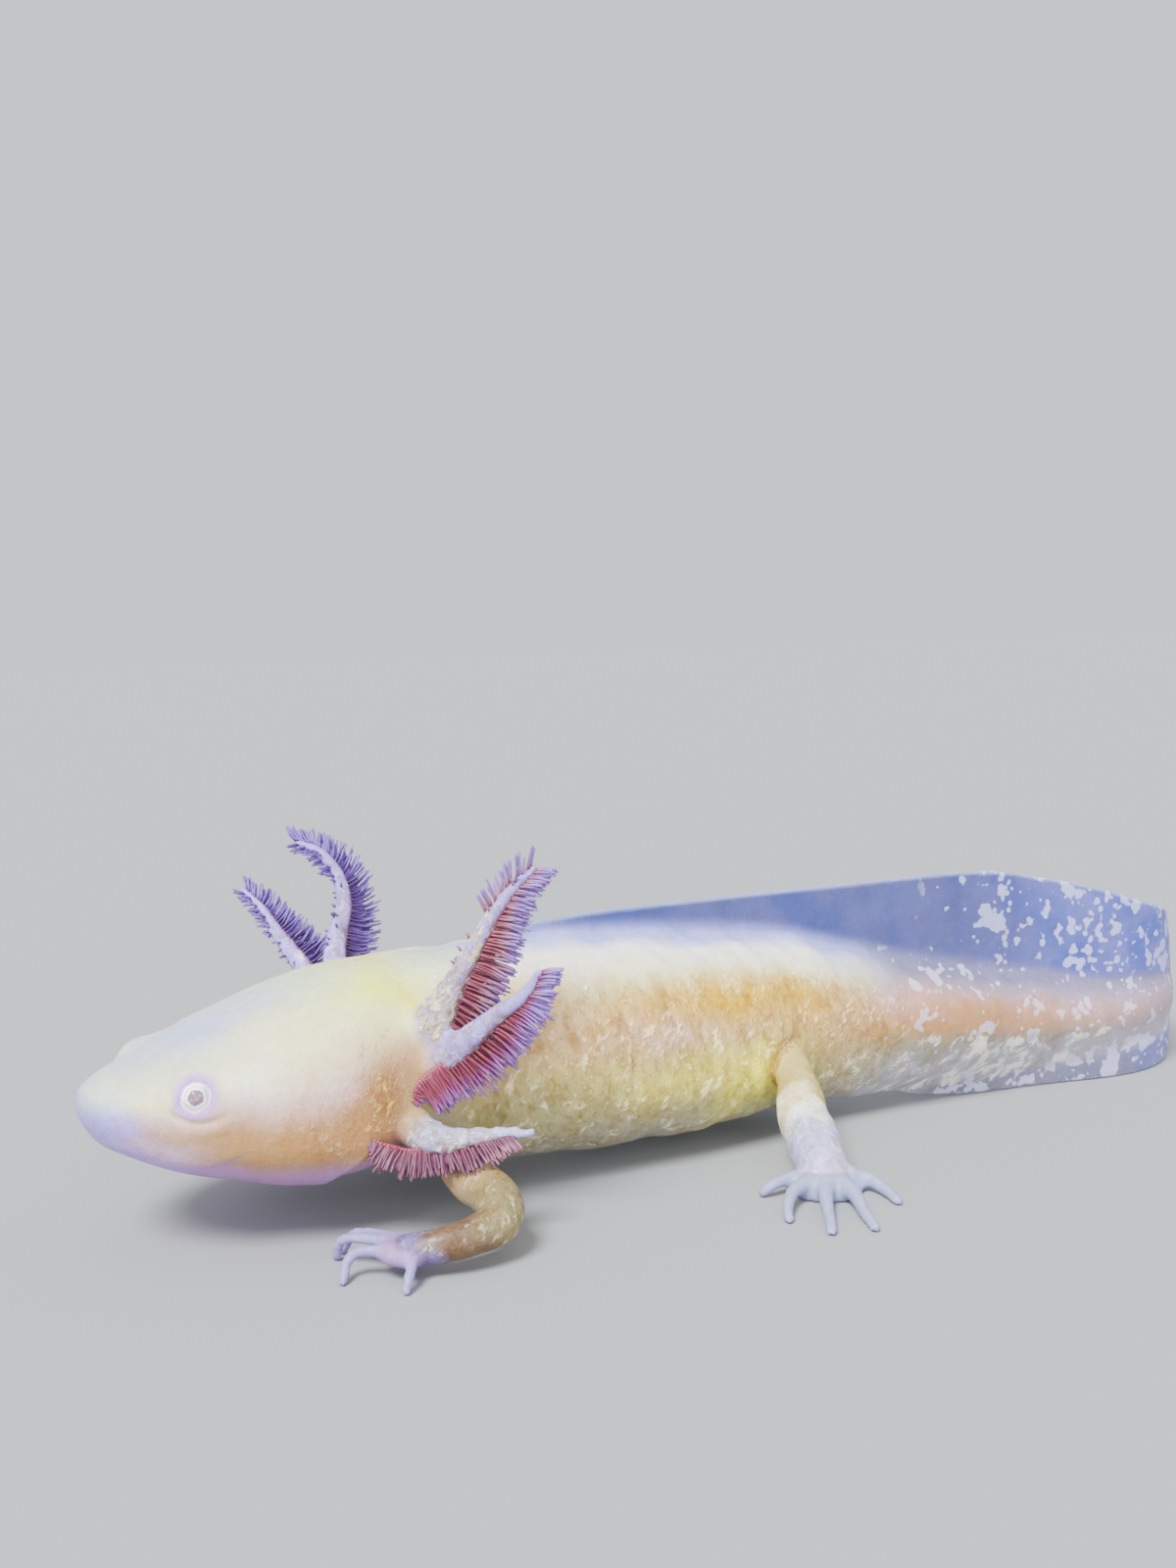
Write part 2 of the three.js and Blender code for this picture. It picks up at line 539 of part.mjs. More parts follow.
const LIMBS = {
  fore_left: {
    names: ['upper_arm_left', 'forearm_left', 'hand_left'],
    path: [[-24.6, -5.2, 6.8], [-25.5, -9.3, 5.5], [-25.8, -12.6, 4.8], [-25.0, -16.0, 4.1],
      [-25.5, -18.7, 3.2], [-28.0, -19.6, 2.7], [-30.4, -19.5, 2.4], [-32.4, -18.6, 2.1]],
    radii: [2.3, 2.0, 1.95, 1.9, 1.85, 1.6, 1.4, 1.25],
    cuts: { joint: 0.56, wrist: 0.93 },
    palm: { place: [-33.2, -18.2, 1.9], radii: [2.0, 1.8, 0.95], turn: -0.7 },
    digits: [
      [[-32.6, -17.4, 2.1], [-33.9, -15.3, 2.3], [-35.6, -13.0, 2.0], [-36.3, -11.5, TIP_DOWN]],
      [[-33.2, -17.6, 2.1], [-35.2, -15.3, 2.3], [-36.8, -13.6, 1.9], [-37.0, -12.5, TIP_DOWN]],
      [[-33.3, -18.6, 2.0], [-35.6, -17.4, 2.2], [-37.0, -16.7, 1.7], [-37.9, -17.7, TIP_DOWN]],
      [[-33.0, -18.9, 1.9], [-33.3, -20.4, 1.6], [-33.8, -21.2, 1.0], [-34.2, -21.7, TIP_DOWN]],
    ],
    digitRadii: FINGER_RADII,
  },
  fore_right: {
    names: ['upper_arm_right', 'forearm_right', 'hand_right'],
    path: [[-24.6, 5.4, 7.0], [-24.3, 9.7, 6.0], [-24.8, 13.0, 5.2], [-26.6, 15.6, 4.6],
      [-29.0, 16.8, 3.9], [-31.4, 17.0, 3.0], [-33.6, 16.5, 2.3], [-35.4, 16.1, 2.0]],
    radii: [2.4, 2.2, 2.0, 1.9, 1.8, 1.5, 1.3, 1.2],
    cuts: { joint: 0.52, wrist: 0.94 },
    palm: { place: [-36.0, 15.9, 1.8], radii: [2.0, 1.8, 0.95], turn: 0.0 },
    digits: [
      [[-36.2, 15.3, 1.9], [-37.0, 13.8, 1.9], [-37.9, 12.7, 1.3], [-38.4, 12.1, TIP_DOWN]],
      [[-36.6, 15.6, 1.9], [-38.8, 14.9, 1.9], [-40.8, 15.0, 1.3], [-41.8, 15.1, TIP_DOWN]],
      [[-36.6, 16.2, 1.9], [-38.8, 17.1, 1.9], [-40.7, 18.1, 1.3], [-41.5, 18.7, TIP_DOWN]],
      [[-36.2, 16.7, 1.9], [-37.3, 18.2, 1.8], [-38.2, 19.6, 1.2], [-38.6, 20.2, TIP_DOWN]],
    ],
    digitRadii: FINGER_RADII,
  },
  hind_left: {
    names: ['thigh_left', 'shank_left', 'foot_left'],
    path: [[8.4, -2.6, 9.6], [7.8, -6.4, 8.0], [6.9, -9.4, 6.4], [6.0, -11.4, 4.8],
      [5.6, -13.6, 3.4], [5.1, -15.6, 2.4], [4.6, -17.4, 1.7]],
    radii: [2.8, 2.2, 1.75, 2.1, 2.3, 2.35, 2.0],
    cuts: { joint: 0.62, wrist: 0.92 },
    palm: { place: [4.3, -17.8, 0.35], radii: [3.2, 3.3, 1.2], turn: -0.45 },
    digits: [
      [[3.6, -17.2, 1.3], [1.2, -16.8, 1.2], [-0.5, -16.8, 0.9], [-1.1, -16.5, TOE_Z]],
      [[3.4, -18.2, 1.3], [0.2, -19.6, 1.3], [-1.4, -21.2, 0.8], [-2.3, -22.8, TOE_Z]],
      [[3.8, -18.8, 1.3], [1.8, -21.9, 1.0], [0.2, -25.0, 0.6], [-0.7, -26.7, TOE_Z]],
      [[4.6, -18.9, 1.3], [4.4, -22.1, 1.0], [3.5, -24.9, 0.6], [2.7, -27.7, TOE_Z]],
      [[5.4, -18.0, 1.3], [7.4, -19.4, 1.0], [7.9, -21.4, 0.6], [7.7, -23.6, TOE_Z]],
    ],
    digitRadii: TOE_RADII,
  },
  hind_right: {
    names: ['thigh_right', 'shank_right', 'foot_right'],
    path: [[8.4, 4.6, 9.6], [8.6, 8.6, 8.0], [8.9, 11.8, 6.3], [8.4, 14.2, 4.8],
      [6.4, 15.6, 3.4], [4.0, 15.6, 2.3], [2.0, 15.0, 1.7]],
    radii: [2.8, 2.2, 1.8, 2.0, 2.1, 2.1, 1.9],
    cuts: { joint: 0.56, wrist: 0.92 },
    palm: { place: [0.7, 14.6, 0.35], radii: [3.2, 3.2, 1.2], turn: 0.2 },
    digits: [
      [[0.9, 13.8, 1.3], [-0.4, 11.6, 1.2], [-1.6, 9.9, 0.8], [-2.2, 9.0, TOE_Z]],
      [[0.4, 14.2, 1.3], [-2.2, 12.4, 1.2], [-4.4, 11.0, 0.8], [-5.6, 10.3, TOE_Z]],
      [[0.2, 14.6, 1.3], [-2.9, 14.2, 1.1], [-5.6, 13.9, 0.7], [-7.2, 13.8, TOE_Z]],
      [[0.4, 15.0, 1.3], [-2.2, 16.2, 1.1], [-4.6, 17.4, 0.7], [-5.9, 18.1, TOE_Z]],
      [[1.0, 15.4, 1.3], [0.2, 17.4, 1.1], [-0.8, 19.2, 0.7], [-1.2, 20.3, TOE_Z]],
    ],
    digitRadii: TOE_RADII,
  },
};

const WRIST_CLEARANCE = 1.0;   // room that a hand or foot keeps round the lower limb

// Part of a curve between two shares of its length, as evenly spaced points with radii.
function partOfLimb(points, radii, from, to) {
  const curve = new THREE.CatmullRomCurve3(points, false, 'catmullrom', TENSION);
  const radiusAt = smoothTable(radii.map((radius, i) => [i / (radii.length - 1), radius]), (t) => t);
  const steps = Math.max(2, Math.round((to - from) * LIMB_STEPS));
  const rings = [];
  for (let i = 0; i <= steps; i += 1) {
    const u = THREE.MathUtils.lerp(from, to, i / steps);
    const along = curve.getTangentAt(u);
    const side = new THREE.Vector3(0, 0, 1).cross(along).normalize();
    const up = new THREE.Vector3().crossVectors(along, side);
    const [radius] = radiusAt(u);
    rings.push(Array.from({ length: LIMB_SIDES }, (_, k) => {
      const angle = (2 * Math.PI * k) / LIMB_SIDES;
      return curve.getPointAt(u)
        .addScaledVector(side, radius * Math.cos(angle))
        .addScaledVector(up, radius * Math.sin(angle));
    }));
  }
  return loft(rings);
}

// The upper limb, the lower limb and the hand or foot, a gap apart.
function limb({ path, radii, cuts, palm, digits, digitRadii }) {
  const points = toVectors(path);
  const length = new THREE.CatmullRomCurve3(points, false, 'catmullrom', TENSION).getLength();
  const half = GAP / 2 / length;
  const upper = partOfLimb(points, radii, 0, cuts.joint - half);
  const lower = partOfLimb(points, radii, cuts.joint + half, cuts.wrist - half);
  const wide = radii.map((radius) => radius + WRIST_CLEARANCE);
  const clearance = partOfLimb(points, wide, cuts.joint, cuts.wrist + half);
  const root = partOfLimb(points, radii, cuts.wrist, 1);
  const fingers = digits.map((digit) => {
    return taperedTube(toVectors(digit), digitRadii, DIGIT_SIDES, DIGIT_STEPS);
  });
  const sole = egg(palm.place, palm.radii, palm.turn, PALM_SIDES);
  const end = [root, sole, ...fingers].reduce((sum, piece) => sum.add(piece));
  return [upper, lower, end.subtract(clearance).intersect(aboveFloor)];
}

// The room that a gill keeps round an upper arm.
function upperArmClearance({ path, radii, cuts }) {
  return partOfLimb(toVectors(path), radii.map((radius) => radius + GAP), 0, cuts.joint);
}

// ---------------------------------------------------------------------------
// The animal
// ---------------------------------------------------------------------------

// The length of body beside the gills and legs, as distances behind the snout
const CLEARANCE_START = 14.0;
const CLEARANCE_END = 80.0;

const FINISH = {
  skin: { color: 0xe6d9a2, roughness: 0.38 },
  throat: { color: 0xe3b48c, roughness: 0.38 },
  fin: { color: 0xaab0c8, roughness: 0.3 },
  limb: { color: 0xe0c890, roughness: 0.38 },
  hand: { color: 0xd8d2dc, roughness: 0.35 },
  gill: { color: 0xb9577c, roughness: 0.4 },
  eye: { color: 0xf2dfe6, roughness: 0.15 },
};

const animal = new THREE.Group();

function addPart(name, solid, finish) {
  const { vertProperties, triVerts } = solid.getMesh();
  const geometry = new THREE.BufferGeometry();
  geometry.setAttribute('position', new THREE.BufferAttribute(new Float32Array(vertProperties), 3));
  geometry.setIndex(new THREE.BufferAttribute(new Uint32Array(triVerts), 1));
  geometry.computeVertexNormals();
  const material = new THREE.MeshStandardMaterial({ ...FINISH[finish], metalness: 0 });
  const mesh = new THREE.Mesh(geometry, material);
  mesh.name = name;
  mesh.position.set(-MIDDLE_X, -MIDDLE_Y, 0);
  animal.add(mesh);
}

addPart('head', head(), 'skin');
addPart('lower_jaw', lowerJaw(), 'throat');
addPart('eye_left', eye(LEFT), 'eye');
addPart('eye_right', eye(RIGHT), 'eye');

for (const [name, from, to] of BODY_PARTS) {
  addPart(name, bodyLength(from + GAP / 2, to - GAP / 2, 0), 'skin');
}
for (const [name, from, to] of UPPER_FINS) {
  addPart(name, upperFin(from, to), 'fin');
}
for (const [name, from, to] of LOWER_FINS) {
  addPart(name, lowerFin(from, to), 'fin');
}
addPart('fin_tail_tip', tailTip(), 'fin');

// Gills and legs stop a gap short of the body that they grow from.
const bodyClearance = bodyLength(CLEARANCE_START, CLEARANCE_END, GAP);
const armClearance = upperArmClearance(LIMBS.fore_left).add(upperArmClearance(LIMBS.fore_right));
for (const [name, plan] of Object.entries(GILLS)) {
  addPart(name, gill(plan).subtract(bodyClearance).subtract(armClearance), 'gill');
}
for (const plan of Object.values(LIMBS)) {
  const [upper, lower, end] = limb(plan);
  addPart(plan.names[0], upper.subtract(bodyClearance), 'limb');
  addPart(plan.names[1], lower, 'limb');
  addPart(plan.names[2], end, 'hand');
}

export default animal;
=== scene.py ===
from math import radians

import bmesh
import bpy
import numpy as np
import openvdb
from mathutils import Matrix


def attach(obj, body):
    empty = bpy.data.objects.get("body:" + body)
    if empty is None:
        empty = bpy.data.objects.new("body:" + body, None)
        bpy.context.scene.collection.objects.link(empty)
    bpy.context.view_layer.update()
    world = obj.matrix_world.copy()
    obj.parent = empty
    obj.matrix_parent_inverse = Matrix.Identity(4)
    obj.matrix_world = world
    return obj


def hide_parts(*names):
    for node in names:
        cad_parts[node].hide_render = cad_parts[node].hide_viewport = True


# A young golden albino axolotl at rest, as a still, life-size model.
# One seamless skin stands for all the flesh; the eyes and the gill filaments are pieces of their own.
# Shapes are worked out in millimetres: the snout points along -X, the animal's left side faces -Y.

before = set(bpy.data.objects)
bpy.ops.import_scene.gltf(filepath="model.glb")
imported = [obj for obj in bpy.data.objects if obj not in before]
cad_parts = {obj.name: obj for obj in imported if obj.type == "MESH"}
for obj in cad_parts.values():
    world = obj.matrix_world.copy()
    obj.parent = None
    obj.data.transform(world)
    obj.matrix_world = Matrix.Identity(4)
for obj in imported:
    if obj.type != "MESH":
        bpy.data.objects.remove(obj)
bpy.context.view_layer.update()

SEED = 11
MM = 0.001                        # metres in a millimetre
MIDDLE = np.array([4.02, -3.69, 0.0])   # middle of the animal, which is the model's origin
LEFT, RIGHT = -1, 1               # sides of the body, as signs of Y

# ---------------------------------------------------------------------------
# Driving dimensions, as in the solid model
# ---------------------------------------------------------------------------

# The backbone seen from above, from the snout to the end of the folded tail.
SPINE_POINTS = [
    [-54.6, -3.0], [-47.5, -1.7], [-37.5, -0.4], [-27.6, 0.3], [-14.0, 0.4],
    [0.0, 1.2], [11.6, 1.4], [26.7, -0.4], [39.3, -1.6], [49.5, -3.2],
    [56.5, -1.8], [61.0, 2.4], [62.2, 8.5], [60.5, 15.0], [57.5, 20.0],
]

# The muscled body: distance behind the snout, half width, underside, back,
# height of the widest level as a share of the depth, squareness of the section.
BODY_ROWS = [
    [0.0, 0.0, 12.3, 12.3, 0.50, 2.0],
    [0.5, 2.6, 10.6, 13.7, 0.48, 2.0],
    [1.6, 4.5, 9.1, 14.3, 0.46, 2.1],
    [4.1, 6.8, 7.4, 15.2, 0.44, 2.2],
    [7.0, 8.7, 6.2, 16.3, 0.42, 2.3],
    [11.3, 10.3, 4.9, 17.9, 0.40, 2.3],
    [15.5, 11.5, 3.9, 19.2, 0.38, 2.3],
    [20.5, 12.1, 3.5, 20.4, 0.38, 2.3],
    [24.0, 11.5, 3.8, 20.8, 0.40, 2.3],
    [28.5, 9.9, 3.2, 21.1, 0.44, 2.2],
    [34.0, 8.9, 2.3, 21.3, 0.46, 2.2],
    [40.0, 9.1, 1.8, 21.3, 0.45, 2.2],
    [48.0, 9.4, 1.5, 20.7, 0.43, 2.2],
    [55.0, 9.1, 1.3, 19.9, 0.42, 2.2],
    [61.0, 8.3, 1.7, 19.2, 0.44, 2.2],
    [67.0, 6.9, 1.7, 18.2, 0.48, 2.1],
    [73.0, 5.7, 1.8, 16.6, 0.55, 2.0],
    [78.0, 4.9, 2.2, 15.2, 0.60, 2.0],
    [86.0, 4.0, 2.3, 13.4, 0.62, 1.9],
    [95.0, 2.9, 2.7, 11.6, 0.60, 1.9],
    [104.0, 1.8, 3.5, 10.0, 0.56, 2.0],
    [113.0, 1.0, 4.6, 9.2, 0.52, 2.0],
    [122.0, 0.65, 6.0, 8.4, 0.50, 2.0],
]
BODY_END = 122.0

# Edges of the thin fin along the back and round the tail: distance behind the snout, height.
FIN_TOP_ROWS = [
    [36.0, 21.9], [41.0, 22.6], [48.0, 22.9], [62.0, 22.8], [74.0, 22.9], [84.0, 23.2],
    [90.0, 22.9], [96.0, 21.8], [102.0, 20.4], [107.0, 18.7], [113.0, 17.0], [120.0, 14.9],
    [127.0, 12.3], [132.0, 9.9], [135.5, 7.8], [136.9, 6.2],
]
FIN_BOTTOM_ROWS = [
    [77.0, 2.3], [80.0, 1.2], [85.0, 0.3], [90.0, 0.0], [107.0, 0.0], [112.0, 0.3],
    [116.0, 1.1], [120.0, 2.1], [127.0, 3.3], [132.0, 4.0], [135.5, 4.7], [136.9, 5.4],
]
FIN_START, FIN_END = 36.0, 136.9
LOWER_FIN_START = 77.0
FIN_HALF_ROOT = 0.55              # half thickness deep in the fin
FIN_HALF_EDGE = 0.27              # half thickness at its rim

# The mouth line: distance behind the snout, height.
MOUTH_ROWS = [[0.0, 9.2], [2.7, 8.6], [5.0, 7.9], [7.0, 7.75], [8.3, 8.1], [9.7, 8.7], [11.0, 9.1]]
NOSTRIL_S, NOSTRIL_OUT, NOSTRIL_Z = 1.6, 3.9, 11.9
# The middle of each eye: distance behind the snout, distance from the middle plane, height.
# The head is a little turned, so the right eye stands higher and further in.
EYE_PLACES = {LEFT: (7.3, 7.1, 13.3), RIGHT: (6.9, 6.6, 13.95)}
EYE_RADIUS = 1.35
SOCKET_RADIUS = 1.3               # a little less, so that the eye fits tightly
# The swelling above and behind an eye: its middle, measured from the eye's, and its radii.
BROW_BACK, BROW_INWARD, BROW_RISE = 0.3, 1.2, 0.2
BROW_RADII = [2.3, 1.7, 1.6]
SNOUT_END = 3.0                   # ahead of this, heights are shares of the depth here
RIB_STEP = 2.4                    # spacing of the grooves between the ribs

# Each gill: points from inside the neck to the tip, radii, the side on which the filaments
# hang, their greatest length, the shares of the stalk where they begin and end, how far the web
# joins them at the root, the middle and the tip, the number of short stray ones on the other
# side, how they lean at the root, the length of a brush at the tip, and any points on the neck
# where the fringe starts, ahead of the stalk.
GILLS = {
    "left_upper": dict(
        path=[[-30.2, -5.8, 14.6], [-27.6, -8.9, 16.6], [-25.0, -11.2, 21.7], [-23.0, -12.6, 25.7],
              [-21.3, -13.6, 28.2], [-19.9, -14.4, 29.6]],
        radii=[1.9, 1.75, 1.15, 0.8, 0.6, 0.3], lie=[0.9, -0.35, -0.35],
        reach=3.2, start=0.1, finish=0.995, web=[1.0, 0.6, 0.3], strays=4, lean=-0.45, brush=1.9,
        arch=[]),
    "left_middle": dict(
        path=[[-30.5, -6.2, 12.4], [-27.2, -9.7, 13.8], [-25.7, -12.0, 15.6], [-23.5, -14.2, 18.1],
              [-22.0, -16.0, 19.7], [-20.9, -17.3, 21.9]],
        radii=[1.9, 1.7, 1.3, 0.9, 0.62, 0.3], lie=[0.75, -0.2, -0.72],
        reach=3.2, start=0.0, finish=0.995, web=[0.9, 1.0, 0.9], strays=0, lean=-0.1, brush=0,
        arch=[[-30.2, -11.1, 11.4], [-29.3, -10.9, 12.8]]),
    "left_lower": dict(
        path=[[-32.4, -6.6, 10.6], [-30.4, -10.4, 9.4], [-28.4, -12.9, 8.3], [-25.5, -14.7, 8.6],
              [-23.3, -15.7, 8.9], [-21.9, -16.4, 8.8]],
        radii=[1.9, 1.5, 1.5, 1.05, 0.6, 0.3], lie=[0.15, -0.3, -0.95],
        reach=2.0, start=0.0, finish=0.88, web=[0.9, 0.8, 0.7], strays=0, lean=-0.5, brush=0,
        arch=[[-33.6, -11.9, 9.0], [-31.9, -12.2, 8.3], [-30.2, -12.7, 7.9]]),
    "right_upper": dict(
        path=[[-30.8, 6.0, 15.2], [-30.5, 9.4, 18.6], [-29.4, 11.9, 21.6], [-28.4, 13.2, 23.9],
              [-28.8, 14.0, 26.6], [-30.2, 14.6, 28.6], [-32.2, 15.0, 29.7]],
        radii=[1.9, 1.45, 1.05, 0.85, 0.7, 0.55, 0.3], lie=[0.95, 0.3, 0.1],
        reach=3.2, start=0.26, finish=0.995, web=[0.8, 0.7, 0.5], strays=14, lean=-0.2, brush=1.2,
        arch=[]),
    "right_middle": dict(
        path=[[-31.0, 6.6, 13.0], [-31.6, 9.9, 16.2], [-33.4, 12.3, 19.3], [-34.6, 14.8, 21.6],
              [-35.5, 16.9, 23.6], [-36.8, 18.5, 25.2]],
        radii=[1.8, 1.35, 0.95, 0.75, 0.5, 0.3], lie=[0.9, 0.2, 0.4],
        reach=2.8, start=0.22, finish=0.98, web=[0.6, 0.5, 0.3], strays=18, lean=-0.2, brush=1.0,
        arch=[]),
    "right_lower": dict(
        path=[[-32.4, 6.8, 10.6], [-30.4, 10.4, 9.6], [-28.6, 12.9, 8.9], [-26.4, 15.0, 9.4],
              [-24.6, 16.6, 10.2], [-23.4, 17.8, 10.6]],
        radii=[1.9, 1.4, 1.2, 0.85, 0.5, 0.3], lie=[0.3, 0.3, -0.9],
        reach=2.1, start=0.1, finish=0.9, web=[0.6, 0.5, 0.4], strays=4, lean=-0.8, brush=0, arch=[]),
}
LOWER_GILL, FIRST_RIGHT_GILL = 2, 3    # places in the list of gills

FIRST_HIND_LEG = 2                # place in the list of limbs below
TIP_DOWN = 0.1                    # a fingertip points down to the floor
TOE_Z = 0.28                      # a toe lies along the floor
FINGER_RADII = [0.6, 0.46, 0.42, 0.38]
TOE_RADII = [1.0, 0.65, 0.5, 0.42]
LIMBS = {
    "fore_left": dict(
        path=[[-24.6, -5.2, 6.8], [-25.5, -9.3, 5.5], [-25.8, -12.6, 4.8], [-25.0, -16.0, 4.1],
              [-25.5, -18.7, 3.2], [-28.0, -19.6, 2.7], [-30.4, -19.5, 2.4], [-32.4, -18.6, 2.1]],
        radii=[2.3, 2.0, 1.95, 1.9, 1.85, 1.6, 1.4, 1.25],
        palm=dict(place=[-33.2, -18.2, 1.9], radii=[2.0, 1.8, 0.95], turn=-0.7),
        digits=[
            [[-32.6, -17.4, 2.1], [-33.9, -15.3, 2.3], [-35.6, -13.0, 2.0], [-36.3, -11.5, TIP_DOWN]],
            [[-33.2, -17.6, 2.1], [-35.2, -15.3, 2.3], [-36.8, -13.6, 1.9], [-37.0, -12.5, TIP_DOWN]],
            [[-33.3, -18.6, 2.0], [-35.6, -17.4, 2.2], [-37.0, -16.7, 1.7], [-37.9, -17.7, TIP_DOWN]],
            [[-33.0, -18.9, 1.9], [-33.3, -20.4, 1.6], [-33.8, -21.2, 1.0], [-34.2, -21.7, TIP_DOWN]],
        ],
        digit_radii=FINGER_RADII),
    "fore_right": dict(
        path=[[-24.6, 5.4, 7.0], [-24.3, 9.7, 6.0], [-24.8, 13.0, 5.2], [-26.6, 15.6, 4.6],
              [-29.0, 16.8, 3.9], [-31.4, 17.0, 3.0], [-33.6, 16.5, 2.3], [-35.4, 16.1, 2.0]],
        radii=[2.4, 2.2, 2.0, 1.9, 1.8, 1.5, 1.3, 1.2],
        palm=dict(place=[-36.0, 15.9, 1.8], radii=[2.0, 1.8, 0.95], turn=0.0),
        digits=[
            [[-36.2, 15.3, 1.9], [-37.0, 13.8, 1.9], [-37.9, 12.7, 1.3], [-38.4, 12.1, TIP_DOWN]],
            [[-36.6, 15.6, 1.9], [-38.8, 14.9, 1.9], [-40.8, 15.0, 1.3], [-41.8, 15.1, TIP_DOWN]],
            [[-36.6, 16.2, 1.9], [-38.8, 17.1, 1.9], [-40.7, 18.1, 1.3], [-41.5, 18.7, TIP_DOWN]],
            [[-36.2, 16.7, 1.9], [-37.3, 18.2, 1.8], [-38.2, 19.6, 1.2], [-38.6, 20.2, TIP_DOWN]],
        ],
        digit_radii=FINGER_RADII),
    "hind_left": dict(
        path=[[8.4, -2.6, 9.6], [7.8, -6.4, 8.0], [6.9, -9.4, 6.4], [6.0, -11.4, 4.8],
              [5.6, -13.6, 3.4], [5.1, -15.6, 2.4], [4.6, -17.4, 1.7]],
        radii=[2.2, 1.8, 1.7, 2.1, 2.3, 2.35, 2.0],
        palm=dict(place=[4.3, -17.8, 0.35], radii=[3.2, 3.3, 1.2], turn=-0.45),
        digits=[
            [[3.6, -17.2, 1.3], [1.2, -16.8, 1.2], [-0.5, -16.8, 0.9], [-1.1, -16.5, TOE_Z]],
            [[3.4, -18.2, 1.3], [0.2, -19.6, 1.3], [-1.4, -21.2, 0.8], [-2.3, -22.8, TOE_Z]],
            [[3.8, -18.8, 1.3], [1.8, -21.9, 1.0], [0.2, -25.0, 0.6], [-0.7, -26.7, TOE_Z]],
            [[4.6, -18.9, 1.3], [4.4, -22.1, 1.0], [3.5, -24.9, 0.6], [2.7, -27.7, TOE_Z]],
            [[5.4, -18.0, 1.3], [7.4, -19.4, 1.0], [7.9, -21.4, 0.6], [7.7, -23.6, TOE_Z]],
        ],
        digit_radii=TOE_RADII),
    "hind_right": dict(
        path=[[8.4, 4.6, 9.6], [8.6, 8.6, 8.0], [8.9, 11.8, 6.3], [8.4, 14.2, 4.8],
              [6.4, 15.6, 3.4], [4.0, 15.6, 2.3], [2.0, 15.0, 1.7]],
        radii=[2.2, 1.8, 1.8, 2.0, 2.1, 2.1, 1.9],
        palm=dict(place=[0.7, 14.6, 0.35], radii=[3.2, 3.2, 1.2], turn=0.2),
        digits=[
            [[0.9, 13.8, 1.3], [-0.4, 11.6, 1.2], [-1.6, 9.9, 0.8], [-2.2, 9.0, TOE_Z]],
            [[0.4, 14.2, 1.3], [-2.2, 12.4, 1.2], [-4.4, 11.0, 0.8], [-5.6, 10.3, TOE_Z]],
            [[0.2, 14.6, 1.3], [-2.9, 14.2, 1.1], [-5.6, 13.9, 0.7], [-7.2, 13.8, TOE_Z]],
            [[0.4, 15.0, 1.3], [-2.2, 16.2, 1.1], [-4.6, 17.4, 0.7], [-5.9, 18.1, TOE_Z]],
            [[1.0, 15.4, 1.3], [0.2, 17.4, 1.1], [-0.8, 19.2, 0.7], [-1.2, 20.3, TOE_Z]],
        ],
        digit_radii=TOE_RADII),
}

# ---------------------------------------------------------------------------
# Curves, tables and soft edges
# ---------------------------------------------------------------------------


def unit(vectors):
    return vectors / np.linalg.norm(vectors, axis=-1, keepdims=True)


def rise(value, low, high):
    """A soft step from 0 at low to 1 at high. With high below low it falls."""
    t = np.clip((value - low) / (high - low), 0, 1)
    return t * t * (3 - 2 * t)


def bell(value, middle, width):
    """A soft bump of height 1."""
    return np.exp(-(((value - middle) / width) ** 2))


def waves(points, size, seed):
    """A smooth random field, mostly between -1 and 1, with swells of a size in millimetres."""
    draw = np.random.default_rng(SEED + seed)
    total = 0
    for _ in range(6):
        way = unit(draw.normal(size=3))
        length = size * draw.uniform(0.7, 1.4)
        total = total + np.sin(points @ way * 2 * np.pi / length + draw.uniform(0, 2 * np.pi))
    return total / 2.4


class Curve:
    """A smooth curve through points, read by the distance along it."""

    def __init__(self, points, steps=60):
        p = np.array(points, float)
        p = np.vstack([2 * p[0] - p[1], p, 2 * p[-1] - p[-2]])
        t = np.linspace(0, 1, steps, endpoint=False)[:, None]
        spans = []
        for before, a, b, after in zip(p, p[1:], p[2:], p[3:]):
            start, end = (b - before) / 2, (after - a) / 2
            square = 3 * (b - a) - 2 * start - end
            cube = 2 * (a - b) + start + end
            spans.append(a + start * t + square * t**2 + cube * t**3)
        self.places = np.vstack(spans + [p[-2:-1]])
        lengths = np.linalg.norm(np.diff(self.places, axis=0), axis=1)
        self.runs = np.append(0, np.cumsum(lengths))
        self.length = self.runs[-1]
        self.ways = unit(np.gradient(self.places, self.runs, axis=0))

    def _read(self, columns, distance):
        return np.stack([np.interp(distance, self.runs, column) for column in columns.T], -1)

    def place(self, distance):
        return self._read(self.places, distance)

    def way(self, distance):
        return unit(self._read(self.ways, distance))


